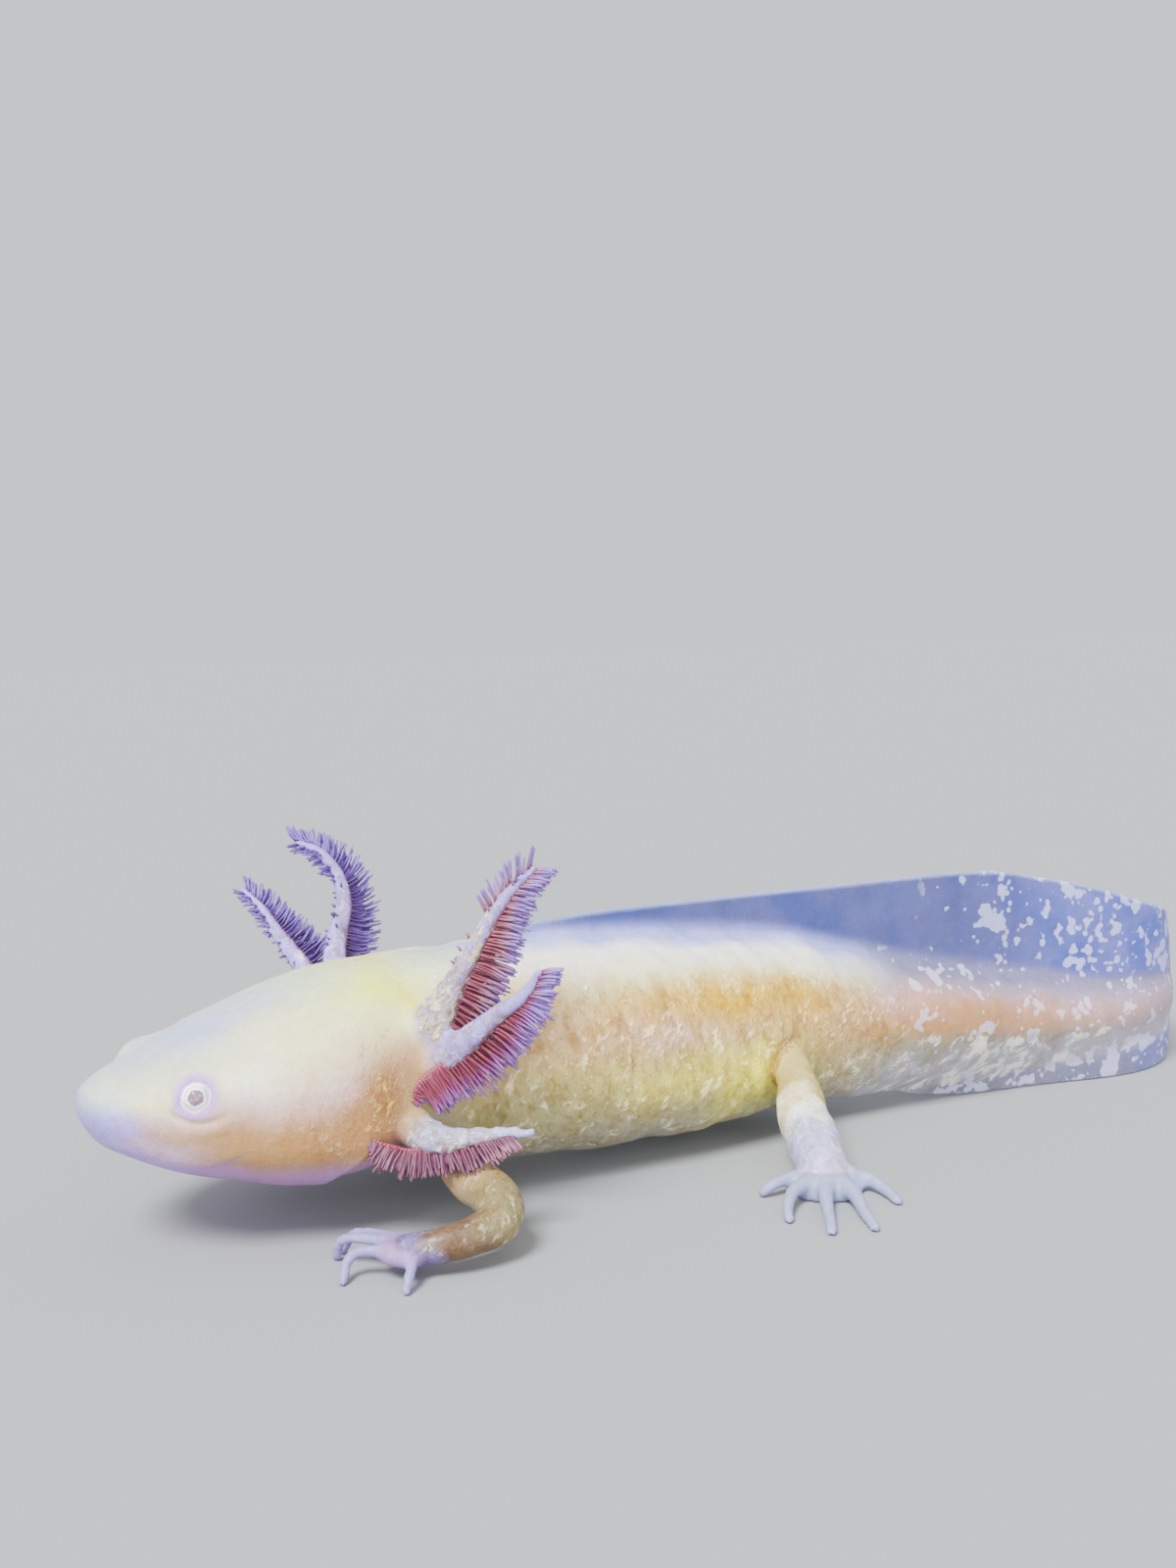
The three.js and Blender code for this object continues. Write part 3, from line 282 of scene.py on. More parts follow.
class Table:
    """Rows of a position and values, read as smooth curves that don't overshoot their rows."""

    def __init__(self, rows, warp=lambda position: position):
        rows = np.array(rows, float)
        self.warp = warp
        self.x, self.y = warp(rows[:, 0]), rows[:, 1:]
        widths = np.diff(self.x)[:, None]
        slopes = np.diff(self.y, axis=0) / widths
        before = widths[1:] * 2 + widths[:-1]
        after = widths[1:] + widths[:-1] * 2
        same = slopes[:-1] * slopes[1:] > 0
        safe = np.where(same, slopes[:-1], 1), np.where(same, slopes[1:], 1)
        inner = np.where(same, (before + after) / (before / safe[0] + after / safe[1]), 0)
        self.slopes = np.vstack([slopes[:1], inner, slopes[-1:]])

    def __call__(self, position):
        at = np.clip(self.warp(np.maximum(position, 0)), self.x[0], self.x[-1])
        i = np.clip(np.searchsorted(self.x, at) - 1, 0, len(self.x) - 2)
        width = self.x[i + 1] - self.x[i]
        t = ((at - self.x[i]) / width)[..., None]
        width = width[..., None]
        value = self.y[i] * (1 + 2 * t) * (1 - t) ** 2 + self.y[i + 1] * t**2 * (3 - 2 * t)
        value = value + self.slopes[i] * width * t * (1 - t) ** 2
        value = value + self.slopes[i + 1] * width * t**2 * (t - 1)
        return np.moveaxis(value, -1, 0)


def radii_along(radii):
    """Radii at even steps of a line, read by the share along it."""
    return Table([[i / (len(radii) - 1), radius] for i, radius in enumerate(radii)])


SPINE = Curve(SPINE_POINTS, steps=100)
body_table = Table(BODY_ROWS, np.sqrt)
mouth_table = Table(MOUTH_ROWS)
fin_top_table = Table(FIN_TOP_ROWS)
fin_bottom_table = Table(FIN_BOTTOM_ROWS)
MARK_STEP = 10                    # steps of the spine between the marks tried first
BATCH = 20000                     # places worked out at a time


def body_section(s):
    """Half width, underside, back, widest level and squareness, closing to a point past the end."""
    half, bottom, top, waist, square = body_table(s)
    past = np.clip((s - BODY_END) / 8, 0, 0.95)
    middle = (bottom + top) / 2
    bottom, top = bottom + (middle - bottom) * past, top + (middle - top) * past
    return half * (1 - past), bottom, top, bottom + (top - bottom) * waist, square


def body_point(s, out, z):
    """A place from the distance behind the snout, towards the right, and up."""
    s, out, z = np.broadcast_arrays(s, out, z)
    way = SPINE.way(s)
    right = np.stack([-way[..., 1], way[..., 0]], -1)
    flat = SPINE.place(s) + right * out[..., None]
    return np.concatenate([flat, z[..., None]], -1)


def body_coordinates(points):
    """For each place, the distance behind the snout and the distance to the right."""
    marks = SPINE.places[::MARK_STEP].astype(np.float32)
    runs = SPINE.runs[::MARK_STEP]
    flat = points[:, :2]
    s = np.empty(len(points))
    for i in range(0, len(points), BATCH):
        gaps = flat[i:i + BATCH, None].astype(np.float32) - marks
        s[i:i + BATCH] = runs[(gaps**2).sum(-1).argmin(1)]
    for _ in range(3):
        s = s + ((flat - SPINE.place(s)) * SPINE.way(s)).sum(-1)
    way = SPINE.way(s)
    gap = flat - SPINE.place(s)
    return s, gap[:, 1] * way[:, 0] - gap[:, 0] * way[:, 1]


# ---------------------------------------------------------------------------
# Closed solids, as points, quads and triangles
# ---------------------------------------------------------------------------


def loft(rings):
    """A closed surface over rings of equal length, with a fan over each end."""
    rings = np.asarray(rings)
    count, sides = rings.shape[:2]
    r, i = np.meshgrid(np.arange(count - 1), np.arange(sides), indexing="ij")
    a, b = r * sides + i, r * sides + (i + 1) % sides
    quads = np.stack([a, b, b + sides, a + sides], -1).reshape(-1, 4)
    i = np.arange(1, sides - 1)
    last = (count - 1) * sides
    first_fan = np.stack([0 * i, i + 1, i], -1)
    last_fan = np.stack([0 * i + last, last + i, last + i + 1], -1)
    return rings.reshape(-1, 3), quads, np.vstack([first_fan, last_fan])


def carried_frames(ways):
    """Two directions across a curve at each step, turned no more than the curve turns."""
    across = np.cross(ways[0], [0.31, 0.22, 0.93])
    sides = []
    for way in ways:
        across = across - way * across.dot(way)
        across = across / np.linalg.norm(across)
        sides.append(across)
    sides = np.array(sides)
    return sides, np.cross(ways, sides)


def tube(path, radii, sides=32, step=0.35):
    """A round tube of changing radius along a curve, with domed ends."""
    curve = Curve(path)
    shares = np.linspace(0, 1, max(8, int(curve.length / step)))
    radius = radii_along(radii)(shares)[0]
    dome = np.radians([15, 30, 45, 60, 75, 86])
    place = np.vstack([
        curve.place(0) - curve.way(0) * (radius[0] * np.sin(dome[::-1]))[:, None],
        curve.place(shares * curve.length),
        curve.place(curve.length) + curve.way(curve.length) * (radius[-1] * np.sin(dome))[:, None],
    ])
    radius = np.concatenate([radius[0] * np.cos(dome[::-1]), radius, radius[-1] * np.cos(dome)])
    distances = np.concatenate([0 * dome, shares * curve.length, 0 * dome + curve.length])
    u, v = carried_frames(curve.way(distances))
    angle = np.linspace(0, 2 * np.pi, sides, endpoint=False)[:, None]
    rings = [p + r * (np.cos(angle) * a + np.sin(angle) * b) for p, r, a, b in zip(place, radius, u, v)]
    return loft(rings)


def egg(place, radii, turn, sides=40):
    """An ellipsoid with three radii, turned about the upright."""
    pole = np.linspace(0.03, np.pi - 0.03, sides // 2)[:, None]
    angle = np.linspace(0, 2 * np.pi, sides, endpoint=False)
    ball = np.stack([np.sin(pole) * np.cos(angle), np.sin(pole) * np.sin(angle),
                     np.cos(pole) + 0 * angle], -1) * radii
    spin = np.array([[np.cos(turn), np.sin(turn), 0], [-np.sin(turn), np.cos(turn), 0], [0, 0, 1]])
    return loft(ball @ spin + place)


def body_solid(sides=96, rings=420):
    """The muscled body from the snout to the end of the tail's core."""
    s = np.linspace(0.06, np.sqrt(BODY_END + 8), rings) ** 2
    half, bottom, top, widest, square = (column[:, None] for column in body_section(s))
    angle = np.linspace(0, 2 * np.pi, sides, endpoint=False)
    across = np.sign(np.cos(angle)) * np.abs(np.cos(angle)) ** (2 / square)
    up = np.sign(np.sin(angle)) * np.abs(np.sin(angle)) ** (2 / square)
    reach = np.where(up > 0, top - widest, widest - bottom)
    return loft(body_point(s[:, None], half * across, widest + reach * up))


def fin_edges(s):
    """Height of the fin's lower and upper edge. Ahead of the tail it stands on the back."""
    _, bottom, top, _, _ = body_section(s)
    joined = rise(s, LOWER_FIN_START - 5, LOWER_FIN_START)
    low = (bottom + top) / 2 * (1 - joined) + fin_bottom_table(s)[0] * joined
    return low, fin_top_table(s)[0]


def fin_ripple(s, z):
    """The thin edge of the fin leaves the middle plane in slow waves."""
    free = rise(z, 13, 22) * rise(s, 60, 84) * rise(s, 136, 120)
    return 0.28 * free * np.sin(s / 3.1 + 0.12 * z)


def fin_solid(rows=26):
    """The fin as one blade, thin at its rounded rim."""
    s = np.linspace(FIN_START, FIN_END, 400)[:, None]
    low, high = fin_edges(s)
    share = (1 - np.cos(np.linspace(0, np.pi, rows))) / 2
    z = low + (high - low) * share
    depth = np.minimum(z - low, high - z)
    half = FIN_HALF_EDGE + (FIN_HALF_ROOT - FIN_HALF_EDGE) * rise(depth, 0, 4)
    rim = np.clip(depth / FIN_HALF_EDGE, 0.02, 1)
    half = half * np.sqrt(1 - (1 - rim) ** 2)
    sway = fin_ripple(s, z)
    right = body_point(s, half + sway, z)
    left = body_point(s, sway - half, z)[:, ::-1]
    return loft(np.concatenate([right, left], 1))


# ---------------------------------------------------------------------------
# The flesh as a distance field, grown together softly
# ---------------------------------------------------------------------------

BAND = 2.4                        # how far from a surface the distance is known
VOXEL = 0.3
FIN_FILLET, FIN_FILLET_END = 2.0, 0.5    # how softly the fin leaves the trunk, and the tail's end
GILL_FILLET, LIMB_FILLET, PALM_FILLET, DIGIT_FILLET = 1.3, 1.3, 0.9, 0.55
BODY_FILLET, BROW_FILLET, SOCKET_FILLET = 0.1, 1.2, 0.2
FIELD_LOW, FIELD_HIGH = [-58.0, -31.5, -1.5], [66.0, 24.5, 32.5]     # corners of the grid


def smooth_min(a, b, reach):
    share = np.clip(0.5 + 0.5 * (b - a) / reach, 0, 1)
    return b + (a - b) * share - reach * share * (1 - share)


class Flesh:
    """The signed distance to the animal's surface on an even grid, negative inside."""

    def __init__(self, low, high):
        self.low = np.array(low, float)
        self.size = np.ceil((np.array(high) - self.low) / VOXEL).astype(int)
        self.field = np.full(self.size, BAND, np.float32)

    def distance(self, solid):
        """The block of the grid round a closed solid, and the distance to it there."""
        points, quads, triangles = solid
        inside = ((points - self.low) / VOXEL).astype(np.float32)
        grid = openvdb.FloatGrid.createLevelSetFromPolygons(
            inside, triangles.astype(np.uint32), quads.astype(np.uint32), halfWidth=BAND / VOXEL)
        margin = BAND / VOXEL + 1
        first = np.maximum(np.floor(inside.min(0) - margin), 0).astype(int)
        last = np.minimum(np.ceil(inside.max(0) + margin).astype(int), self.size)
        block = np.empty(last - first, np.float32)
        grid.copyToArray(block, ijk=tuple(int(i) for i in first))
        return tuple(slice(a, b) for a, b in zip(first, last)), block * VOXEL

    def grow(self, solid, reach):
        """Joins a solid to the flesh with a fillet, whose reach is a number or one for each column."""
        block, distance = self.distance(solid)
        if np.ndim(reach):
            reach = reach[block[:2]][..., None]
        self.field[block] = smooth_min(self.field[block], distance, reach)

    def columns(self):
        """The place of each upright column of the grid."""
        axes = [self.low[i] + VOXEL * np.arange(self.size[i]) for i in (0, 1)]
        return np.stack(np.meshgrid(*axes, indexing="ij"), -1)

    def hollow(self, solid, reach):
        """Takes a solid out of the flesh, with a softened edge."""
        block, distance = self.distance(solid)
        self.field[block] = -smooth_min(-self.field[block], distance, reach)

    def read(self, points):
        """The distance at places, between the grid's steps."""
        at = np.clip((points - self.low) / VOXEL, 0, self.size - 1.001)
        i = at.astype(int)
        f = (at - i).astype(np.float32)
        total = 0
        for corner in np.ndindex(2, 2, 2):
            weight = np.prod(np.where(corner, f, 1 - f), axis=1)
            total = total + weight * self.field[tuple((i + corner).T)]
        return total

    def surface(self):
        """Points and quads of the surface."""
        grid = openvdb.FloatGrid(BAND)
        grid.copyFromArray(self.field)
        points, quads = grid.convertToQuads(isovalue=0)
        return points.astype(float) * VOXEL + self.low, quads.astype(int)


def grow_animal():
    """The whole animal's distance field, and that of the body alone."""
    flesh, body = Flesh(FIELD_LOW, FIELD_HIGH), Flesh(FIELD_LOW, FIELD_HIGH)
    body.grow(body_solid(), BODY_FILLET)
    flesh.field[:] = body.field
    columns = flesh.columns()
    s, _ = body_coordinates(columns.reshape(-1, 2))
    soft = FIN_FILLET_END + (FIN_FILLET - FIN_FILLET_END) * rise(s, 116, 84)
    flesh.grow(fin_solid(), soft.reshape(columns.shape[:2]))
    for plan in GILLS.values():
        flesh.grow(tube(plan["path"], plan["radii"]), GILL_FILLET)
    for plan in LIMBS.values():
        flesh.grow(tube(plan["path"], plan["radii"]), LIMB_FILLET)
        flesh.grow(egg(**plan["palm"]), PALM_FILLET)
        for digit in plan["digits"]:
            flesh.grow(tube(digit, plan["digit_radii"], sides=20, step=0.2), DIGIT_FILLET)
    for side in (LEFT, RIGHT):
        s, out, z = EYE_PLACES[side]
        brow = body_point(s + BROW_BACK, side * (out - BROW_INWARD), z + BROW_RISE)
        flesh.grow(egg(brow, BROW_RADII, 0), BROW_FILLET)
        flesh.hollow(egg(eye_middle(side), [SOCKET_RADIUS] * 3, 0), SOCKET_FILLET)
    height = flesh.low[2] + VOXEL * np.arange(flesh.size[2])
    flesh.field[:] = np.maximum(flesh.field, -height[None, None, :])
    return flesh, body


# ---------------------------------------------------------------------------
# Meshes
# ---------------------------------------------------------------------------


def edges_of(quads):
    pairs = np.vstack([quads[:, [i, (i + 1) % 4]] for i in range(4)])
    return np.unique(np.sort(pairs, axis=1), axis=0)


def neighbour_mean(points, edges):
    a, b = np.concatenate([edges[:, 0], edges[:, 1]]), np.concatenate([edges[:, 1], edges[:, 0]])
    count = np.maximum(np.bincount(a, minlength=len(points)), 1)
    sums = [np.bincount(a, points[b, k], len(points)) for k in range(points.shape[1])]
    return np.stack(sums, -1) / count[:, None]


def relax(points, edges, rounds):
    """Evens out the mesh: each round moves points towards their neighbours, then a little back."""
    for _ in range(rounds):
        for amount in (0.5, -0.52):
            points = points + amount * (neighbour_mean(points, edges) - points)
    return points


def mesh_object(name, points, faces):
    """A smooth mesh object in the model's frame, from places in millimetres."""
    mesh = bpy.data.meshes.new(name)
    mesh.from_pydata(((points - MIDDLE) * MM).tolist(), [], faces)
    mesh.polygons.foreach_set("use_smooth", np.ones(len(mesh.polygons), bool))
    mesh.update()
    return put_in_scene(name, mesh)


def put_in_scene(name, data):
    """A new object for a mesh, camera or light."""
    piece = bpy.data.objects.new(name, data)
    bpy.context.scene.collection.objects.link(piece)
    return piece


def read_rows(items, key, width, kind=np.float32):
    """A property of all items of a mesh, one row for each."""
    flat = np.empty(len(items) * width, kind)
    items.foreach_get(key, flat)
    return flat.reshape(-1, width)


def millimetres(places):
    """Places from a mesh, in the animal's frame."""
    return places.astype(float) / MM + MIDDLE


def move_points(mesh, points):
    mesh.vertices.foreach_set("co", ((points - MIDDLE) * MM).astype(np.float32).ravel())
    mesh.update()


def set_number(mesh, name, values):
    mesh.attributes.new(name, "FLOAT", "POINT").data.foreach_set("value", values.astype(np.float32))


def set_colour(mesh, name, colours):
    rgba = np.concatenate([colours, np.ones((len(colours), 1))], 1).astype(np.float32)
    mesh.attributes.new(name, "FLOAT_COLOR", "POINT").data.foreach_set("color", rgba.ravel())


def refine(mesh, chosen):
    """Cuts the chosen faces in four, for finer folds there."""
    bm = bmesh.new()
    bm.from_mesh(mesh)
    bm.faces.ensure_lookup_table()
    edges = {edge for i in np.flatnonzero(chosen) for edge in bm.faces[i].edges}
    bmesh.ops.subdivide_edges(bm, edges=list(edges), cuts=1, use_grid_fill=True)
    bm.to_mesh(mesh)
    bm.free()
    mesh.polygons.foreach_set("use_smooth", np.ones(len(mesh.polygons), bool))


# ---------------------------------------------------------------------------
# Where a place lies on the animal
# ---------------------------------------------------------------------------

FAR = 9.0                         # stands for any distance too large to matter


class Limits:
    """Marks places near a limb or gill by the distance to its middle line and the share along it."""

    def __init__(self, path, radii):
        curve = Curve(path)
        self.shares = np.linspace(0, 1, 50)
        self.places = curve.place(self.shares * curve.length)
        self.radii = radii_along(radii)(self.shares)[0]

    def read(self, points):
        """Distance to the surface, and the share along the middle line."""
        distance = np.full(len(points), FAR)
        share = np.zeros(len(points))
        low, high = self.places.min(0) - 4, self.places.max(0) + 4
        near = np.flatnonzero(((points > low) & (points < high)).all(1))
        gaps = np.linalg.norm(points[near, None] - self.places, axis=2) - self.radii
        distance[near] = gaps.min(1)
        share[near] = self.shares[gaps.argmin(1)]
        return distance, share


class Landmarks:
    """What the skin's folds and colours need to know about each place on it."""

    def __init__(self, points, body):
        self.points = points
        self.s, self.out = body_coordinates(points)
        self.z = points[:, 2]
        _, self.bottom, self.top, self.widest, _ = body_section(np.maximum(self.s, SNOUT_END))
        self.height = (self.z - self.bottom) / np.maximum(self.top - self.bottom, 0.5)
        self.off_body = body.read(points)
        self.gill, self.gill_share, self.gill_name = self._nearest(GILLS)
        self.limb, self.limb_share, self.limb_name = self._nearest(LIMBS)
        self.digit = self._nearest_digit()
        low, high = fin_edges(self.s)
        self.fin_low, self.fin_high = low, high

    def _nearest(self, plans):
        best = np.full(len(self.points), FAR)
        share = np.zeros(len(self.points))
        name = np.zeros(len(self.points), int)
        for i, plan in enumerate(plans.values()):
            distance, at = Limits(plan["path"], plan["radii"]).read(self.points)
            closer = distance < best
            best[closer], share[closer], name[closer] = distance[closer], at[closer], i
        return best, share, name

    def _nearest_digit(self):
        best = np.full(len(self.points), FAR)
        for plan in LIMBS.values():
            for digit in plan["digits"]:
                best = np.minimum(best, Limits(digit, plan["digit_radii"]).read(self.points)[0])
        return best


# ---------------------------------------------------------------------------
# Folds of the skin
# ---------------------------------------------------------------------------

# Heights and depths of the folds.
RIB_DEPTH, VENT_SWELL = 0.17, 0.5
LEG_CREASE, GROIN_CREASE, GROIN_SWELL, GILL_CREASE = 0.2, 0.3, 0.22, 0.12
HOLLOWS, LUMPS, EDGE_WAVES, LEG_LUMPS = 0.09, 0.05, 0.12, 0.04
STALK_CRUMPLE, STALK_GRAIN = 0.07, 0.06
LIP_LINE, LIP_SWELL, JAW_INSET = 0.12, 0.05, 0.1
HEAD_EDGE, HEAD_STEP, THROAT_HOLLOW = 0.3, 0.6, 0.7
EYE_RIM, EYE_RIDGE, EYE_CREASE = 0.05, 0.13, 0.15
NOSTRIL_RIM, NOSTRIL_DEPTH = 0.05, 0.2
# Where they lie, as distances behind the snout.
HEAD_EDGE_S, THROAT_S, VENT_S = 17.6, 23.0, 74.5
MOUTH_END = 11.0


def mouth_height(s):
    return mouth_table(s)[0]


def eye_middle(side):
    s, out, z = EYE_PLACES[side]
    return body_point(s, side * out, z)


def eye_gap(points, side):
    """Distance from the middle of an eye."""
    return np.linalg.norm(points - eye_middle(side), axis=1)


def nostril_gap(points, side):
    """Distance from a nostril."""
    return np.linalg.norm(points - body_point(NOSTRIL_S, side * NOSTRIL_OUT, NOSTRIL_Z), axis=1)


def skin_folds(marks):
    """How far each place stands out from the smooth flesh, in millimetres."""
    s, height, points = marks.s, marks.height, marks.points
    body = rise(marks.off_body, 1.0, 0.2)
    trunk = rise(marks.limb, 0.2, 1.2) * rise(marks.gill, 0.2, 1.0) * body
    relief = mouth_folds(marks) * trunk
    relief += throat_fold(marks) * rise(marks.limb, 0.2, 1.2) * body
    relief -= RIB_DEPTH * trunk * rib_grooves(marks)
    # The crease where each leg and gill leaves the body, and the deep one in the groin.
    front = groin_front(marks)
    for part, depth in ((marks.limb, LEG_CREASE + GROIN_CREASE * front), (marks.gill, GILL_CREASE)):
        relief -= depth * bell(marks.off_body - part, 0, 0.38) * rise(marks.off_body, 1.4, 0.6)
    relief += GROIN_SWELL * front * bell(marks.limb, 1.5, 0.8) * body
    # Slack, slightly uneven skin: broad hollows, soft lumps and a wavy edge under the flank.
    relief += HOLLOWS * waves(points, 6.5, 3) * trunk * (0.5 + 0.5 * rise(s, 20, 32))
    relief += LUMPS * waves(points, 2.4, 4) * rise(s, 20, 30) * rise(s, 120, 80) * trunk
    along = EDGE_WAVES * np.sin(s / 1.15 + 1.5 * np.sin(s / 5))
    relief += along * trunk * rise(s, 34, 40) * rise(s, 64, 58) * bell(height, 0.1, 0.1)
    relief += VENT_SWELL * bell(s, VENT_S, 2.4) * bell(marks.out, 0, 2.0) * rise(height, 0.3, 0.1)
    relief += part_folds(marks)
    for side in (LEFT, RIGHT):
        relief += eye_folds(marks, side)
        relief += nostril(marks, side)
    return relief


def rib_grooves(marks):
    """Shallow upright grooves between the ribs, uneven in depth."""
    s, points = marks.s, marks.points
    place = s + 0.12 * (marks.z - 10) + 0.25 * waves(points, 9, 2)
    ribs = 0.5 - 0.5 * np.cos(2 * np.pi * place / RIB_STEP)
    flank = rise(s, 31, 37) * rise(s, 66, 60) * bell(marks.height, 0.5, 0.33)
    return (1 - ribs) ** 3 * flank * (0.8 + 0.35 * waves(points, 7, 1))


def part_folds(marks):
    """Crumpled gill stalks and soft lumps on the legs."""
    points = marks.points
    stalk = rise(marks.gill, 0.5, 0.1) * rise(marks.off_body, 0.5, 1.4)
    root = 0.25 + 0.75 * rise(marks.gill_share, 0.6, 0.3)
    crumpled = stalk * np.where(marks.gill_name == LOWER_GILL, 0.9, root)
    surface = STALK_CRUMPLE * waves(points, 1.4, 5) + STALK_GRAIN * waves(points, 0.75, 6)
    leg = rise(marks.limb, 0.6, 0.1) * rise(marks.off_body, 0.5, 1.6)
    return crumpled * surface + LEG_LUMPS * leg * waves(points, 1.8, 7)


def groin_front(marks):
    """1 where a fold of the flank hangs over the front of a hind leg."""
    return (marks.limb_name >= FIRST_HIND_LEG) * rise(marks.s, 64.5, 62.5) * rise(marks.s, 57, 59)


def mouth_folds(marks):
    """The closed mouth: a fine line under a soft upper lip, with the lower jaw set in a little."""
    above = marks.z - mouth_height(marks.s)
    mouth = rise(marks.s, MOUTH_END, 7.6)
    line = -LIP_LINE * bell(above, 0, 0.11)
    lip = LIP_SWELL * bell(above, 0.5, 0.45)
    jaw = -JAW_INSET * rise(above, 0.05, -0.25) * rise(above, -3.2, -0.8)
    return mouth * (line + lip + jaw)


def throat_fold(marks):
    """The rear edge of the head, which overhangs the throat and fades out below the gills."""
    height = marks.height
    fold = marks.s - HEAD_EDGE_S - 2.6 * rise(height, 0.08, 0.28)
    edge = HEAD_EDGE * np.where(fold < 0, bell(fold, 0, 1.8), 0)
    step = np.exp(-np.maximum(fold, 0) / 1.6) * rise(fold, -0.15, 0.2)
    below = rise(height, -0.02, 0.1)
    step = (0.3 + 0.7 * below) * HEAD_STEP * step * (fold > -0.2)
    hollow = THROAT_HOLLOW * bell(marks.s, THROAT_S, 4.0) * rise(height, 0.3, 0.02)
    return rise(height, 0.38, 0.2) * (below * edge - step) - hollow


def crease_under(marks, side):
    """Height above the crease under an eye, and distance along it from its middle."""
    eye_s, _, eye_z = EYE_PLACES[side]
    back = marks.s - eye_s
    return marks.z - (eye_z - 1.5 + 0.16 * (back + 0.2) ** 2), np.abs(back + 0.3)


def eye_folds(marks, side):
    """The soft rim round an eye, and the crease under it with a ridge below."""
    gap = eye_gap(marks.points, side)
    here = (marks.out * side > 0) * rise(gap, 4.8, 3.6)
    ring = EYE_RIM * bell(gap, EYE_RADIUS + 0.35, 0.3)
    crease, along = crease_under(marks, side)
    fold = EYE_RIDGE * bell(crease, -0.75, 0.5) - EYE_CREASE * bell(crease, -0.05, 0.26)
    return here * (ring + rise(along, 2.6, 1.4) * fold)


def nostril(marks, side):
    """A nostril with a low rim."""
    gap = nostril_gap(marks.points, side)
    pit = NOSTRIL_RIM * bell(gap, 0.6, 0.3) - NOSTRIL_DEPTH * bell(gap, 0, 0.26)
    return (marks.out * side > 0) * pit


# The mouth and what lies this near to the eyes and nostrils is divided finely.
FINE_MOUTH, FINE_MOUTH_END, FINE_EYE, FINE_NOSTRIL = 0.8, 11.2, 2.4, 0.9


def skin_mesh():
    """The seamless skin with its folds, and what is known about each of its places."""
    flesh, body = grow_animal()
    points, quads = flesh.surface()
    points = relax(points, edges_of(quads), 3)
    skin = mesh_object("skin", points, quads.tolist())
    mesh = skin.data
    for _ in range(2):
        middles = millimetres(read_rows(mesh.polygons, "center", 3))
        s, _ = body_coordinates(middles)
        chosen = (np.abs(middles[:, 2] - mouth_height(s)) < FINE_MOUTH) & (s < FINE_MOUTH_END)
        for side in (LEFT, RIGHT):
            chosen |= eye_gap(middles, side) < FINE_EYE
            chosen |= nostril_gap(middles, side) < FINE_NOSTRIL
        refine(mesh, chosen)
    edges = read_rows(mesh.edges, "vertices", 2, np.int32)
    points = relax(millimetres(read_rows(mesh.vertices, "co", 3)), edges, 4)
    move_points(mesh, points)
    marks = Landmarks(points, body)
    marks.normals = read_rows(mesh.vertex_normals, "vector", 3).astype(float)
    relief = skin_folds(marks)
    points = points + marks.normals * relief[:, None]
    points[:, 2] = np.maximum(points[:, 2], 0)
    move_points(mesh, points)
    return skin, marks


# ---------------------------------------------------------------------------
# Stage, camera and light
# ---------------------------------------------------------------------------

CAMERA_PLACE = [-69.22, -126.11, 47.0]
CAMERA_TURN, CAMERA_TILT, CAMERA_ROLL = -23.5, 85.0, -2.0
CAMERA_LENS = 36
CAMERA_NEAR, CAMERA_FAR = 0.005, 100
FLOOR_REACH = 30.0                # metres, so that no edge shows
FLOOR_GREY = (0.352, 0.363, 0.38, 1)
STUDIO_LIGHT, STUDIO_STRENGTH = (0.92, 0.94, 1.0, 1), 1.07
# Each soft light: its turn, lift, strength and spread.
LIGHTS = {"key": (-50, 52, 6.6, 22), "fill": (-12, 14, 1.5, 40)}


def make_camera():
    camera = put_in_scene("camera", bpy.data.cameras.new("camera"))
    camera.data.lens = CAMERA_LENS
    camera.data.clip_start, camera.data.clip_end = CAMERA_NEAR, CAMERA_FAR
    turn = Matrix.Rotation(radians(CAMERA_TURN), 4, "Z")
    tilt = Matrix.Rotation(radians(CAMERA_TILT), 4, "X")
    roll = Matrix.Rotation(radians(CAMERA_ROLL), 4, "Z")
    place = Matrix.Translation([value * MM for value in CAMERA_PLACE])
    camera.matrix_world = place @ turn @ tilt @ roll
    bpy.context.scene.camera = camera


def sun(name, turn, lift, strength, spread):
    lamp = bpy.data.lights.new(name, "SUN")
    lamp.energy = strength
    lamp.angle = radians(spread)
    put_in_scene(name, lamp).rotation_euler = (radians(90 - lift), 0, radians(turn))


def make_stage():
    """A plain grey floor that runs into a pale surround, and soft light from above."""
    mesh = bpy.data.meshes.new("floor")
    corners = [(x * FLOOR_REACH, y * FLOOR_REACH, 0) for x, y in ((-1, -1), (1, -1), (1, 1), (-1, 1))]
    mesh.from_pydata(corners, [], [(0, 1, 2, 3)])
    floor = put_in_scene("floor", mesh)
    nodes = Nodes("floor_paint")
    nodes.shader(Base_Color=FLOOR_GREY, Roughness=0.9, Specular_IOR_Level=0.1)
    mesh.materials.append(nodes.material)
    world = bpy.data.worlds.new("studio")
    bpy.context.scene.world = world
    world.use_nodes = True
    backdrop = world.node_tree.nodes["Background"].inputs
    backdrop["Color"].default_value = STUDIO_LIGHT
    backdrop["Strength"].default_value = STUDIO_STRENGTH
    for name, light in LIGHTS.items():
        sun(name, *light)


# ---------------------------------------------------------------------------
# Node materials
# ---------------------------------------------------------------------------


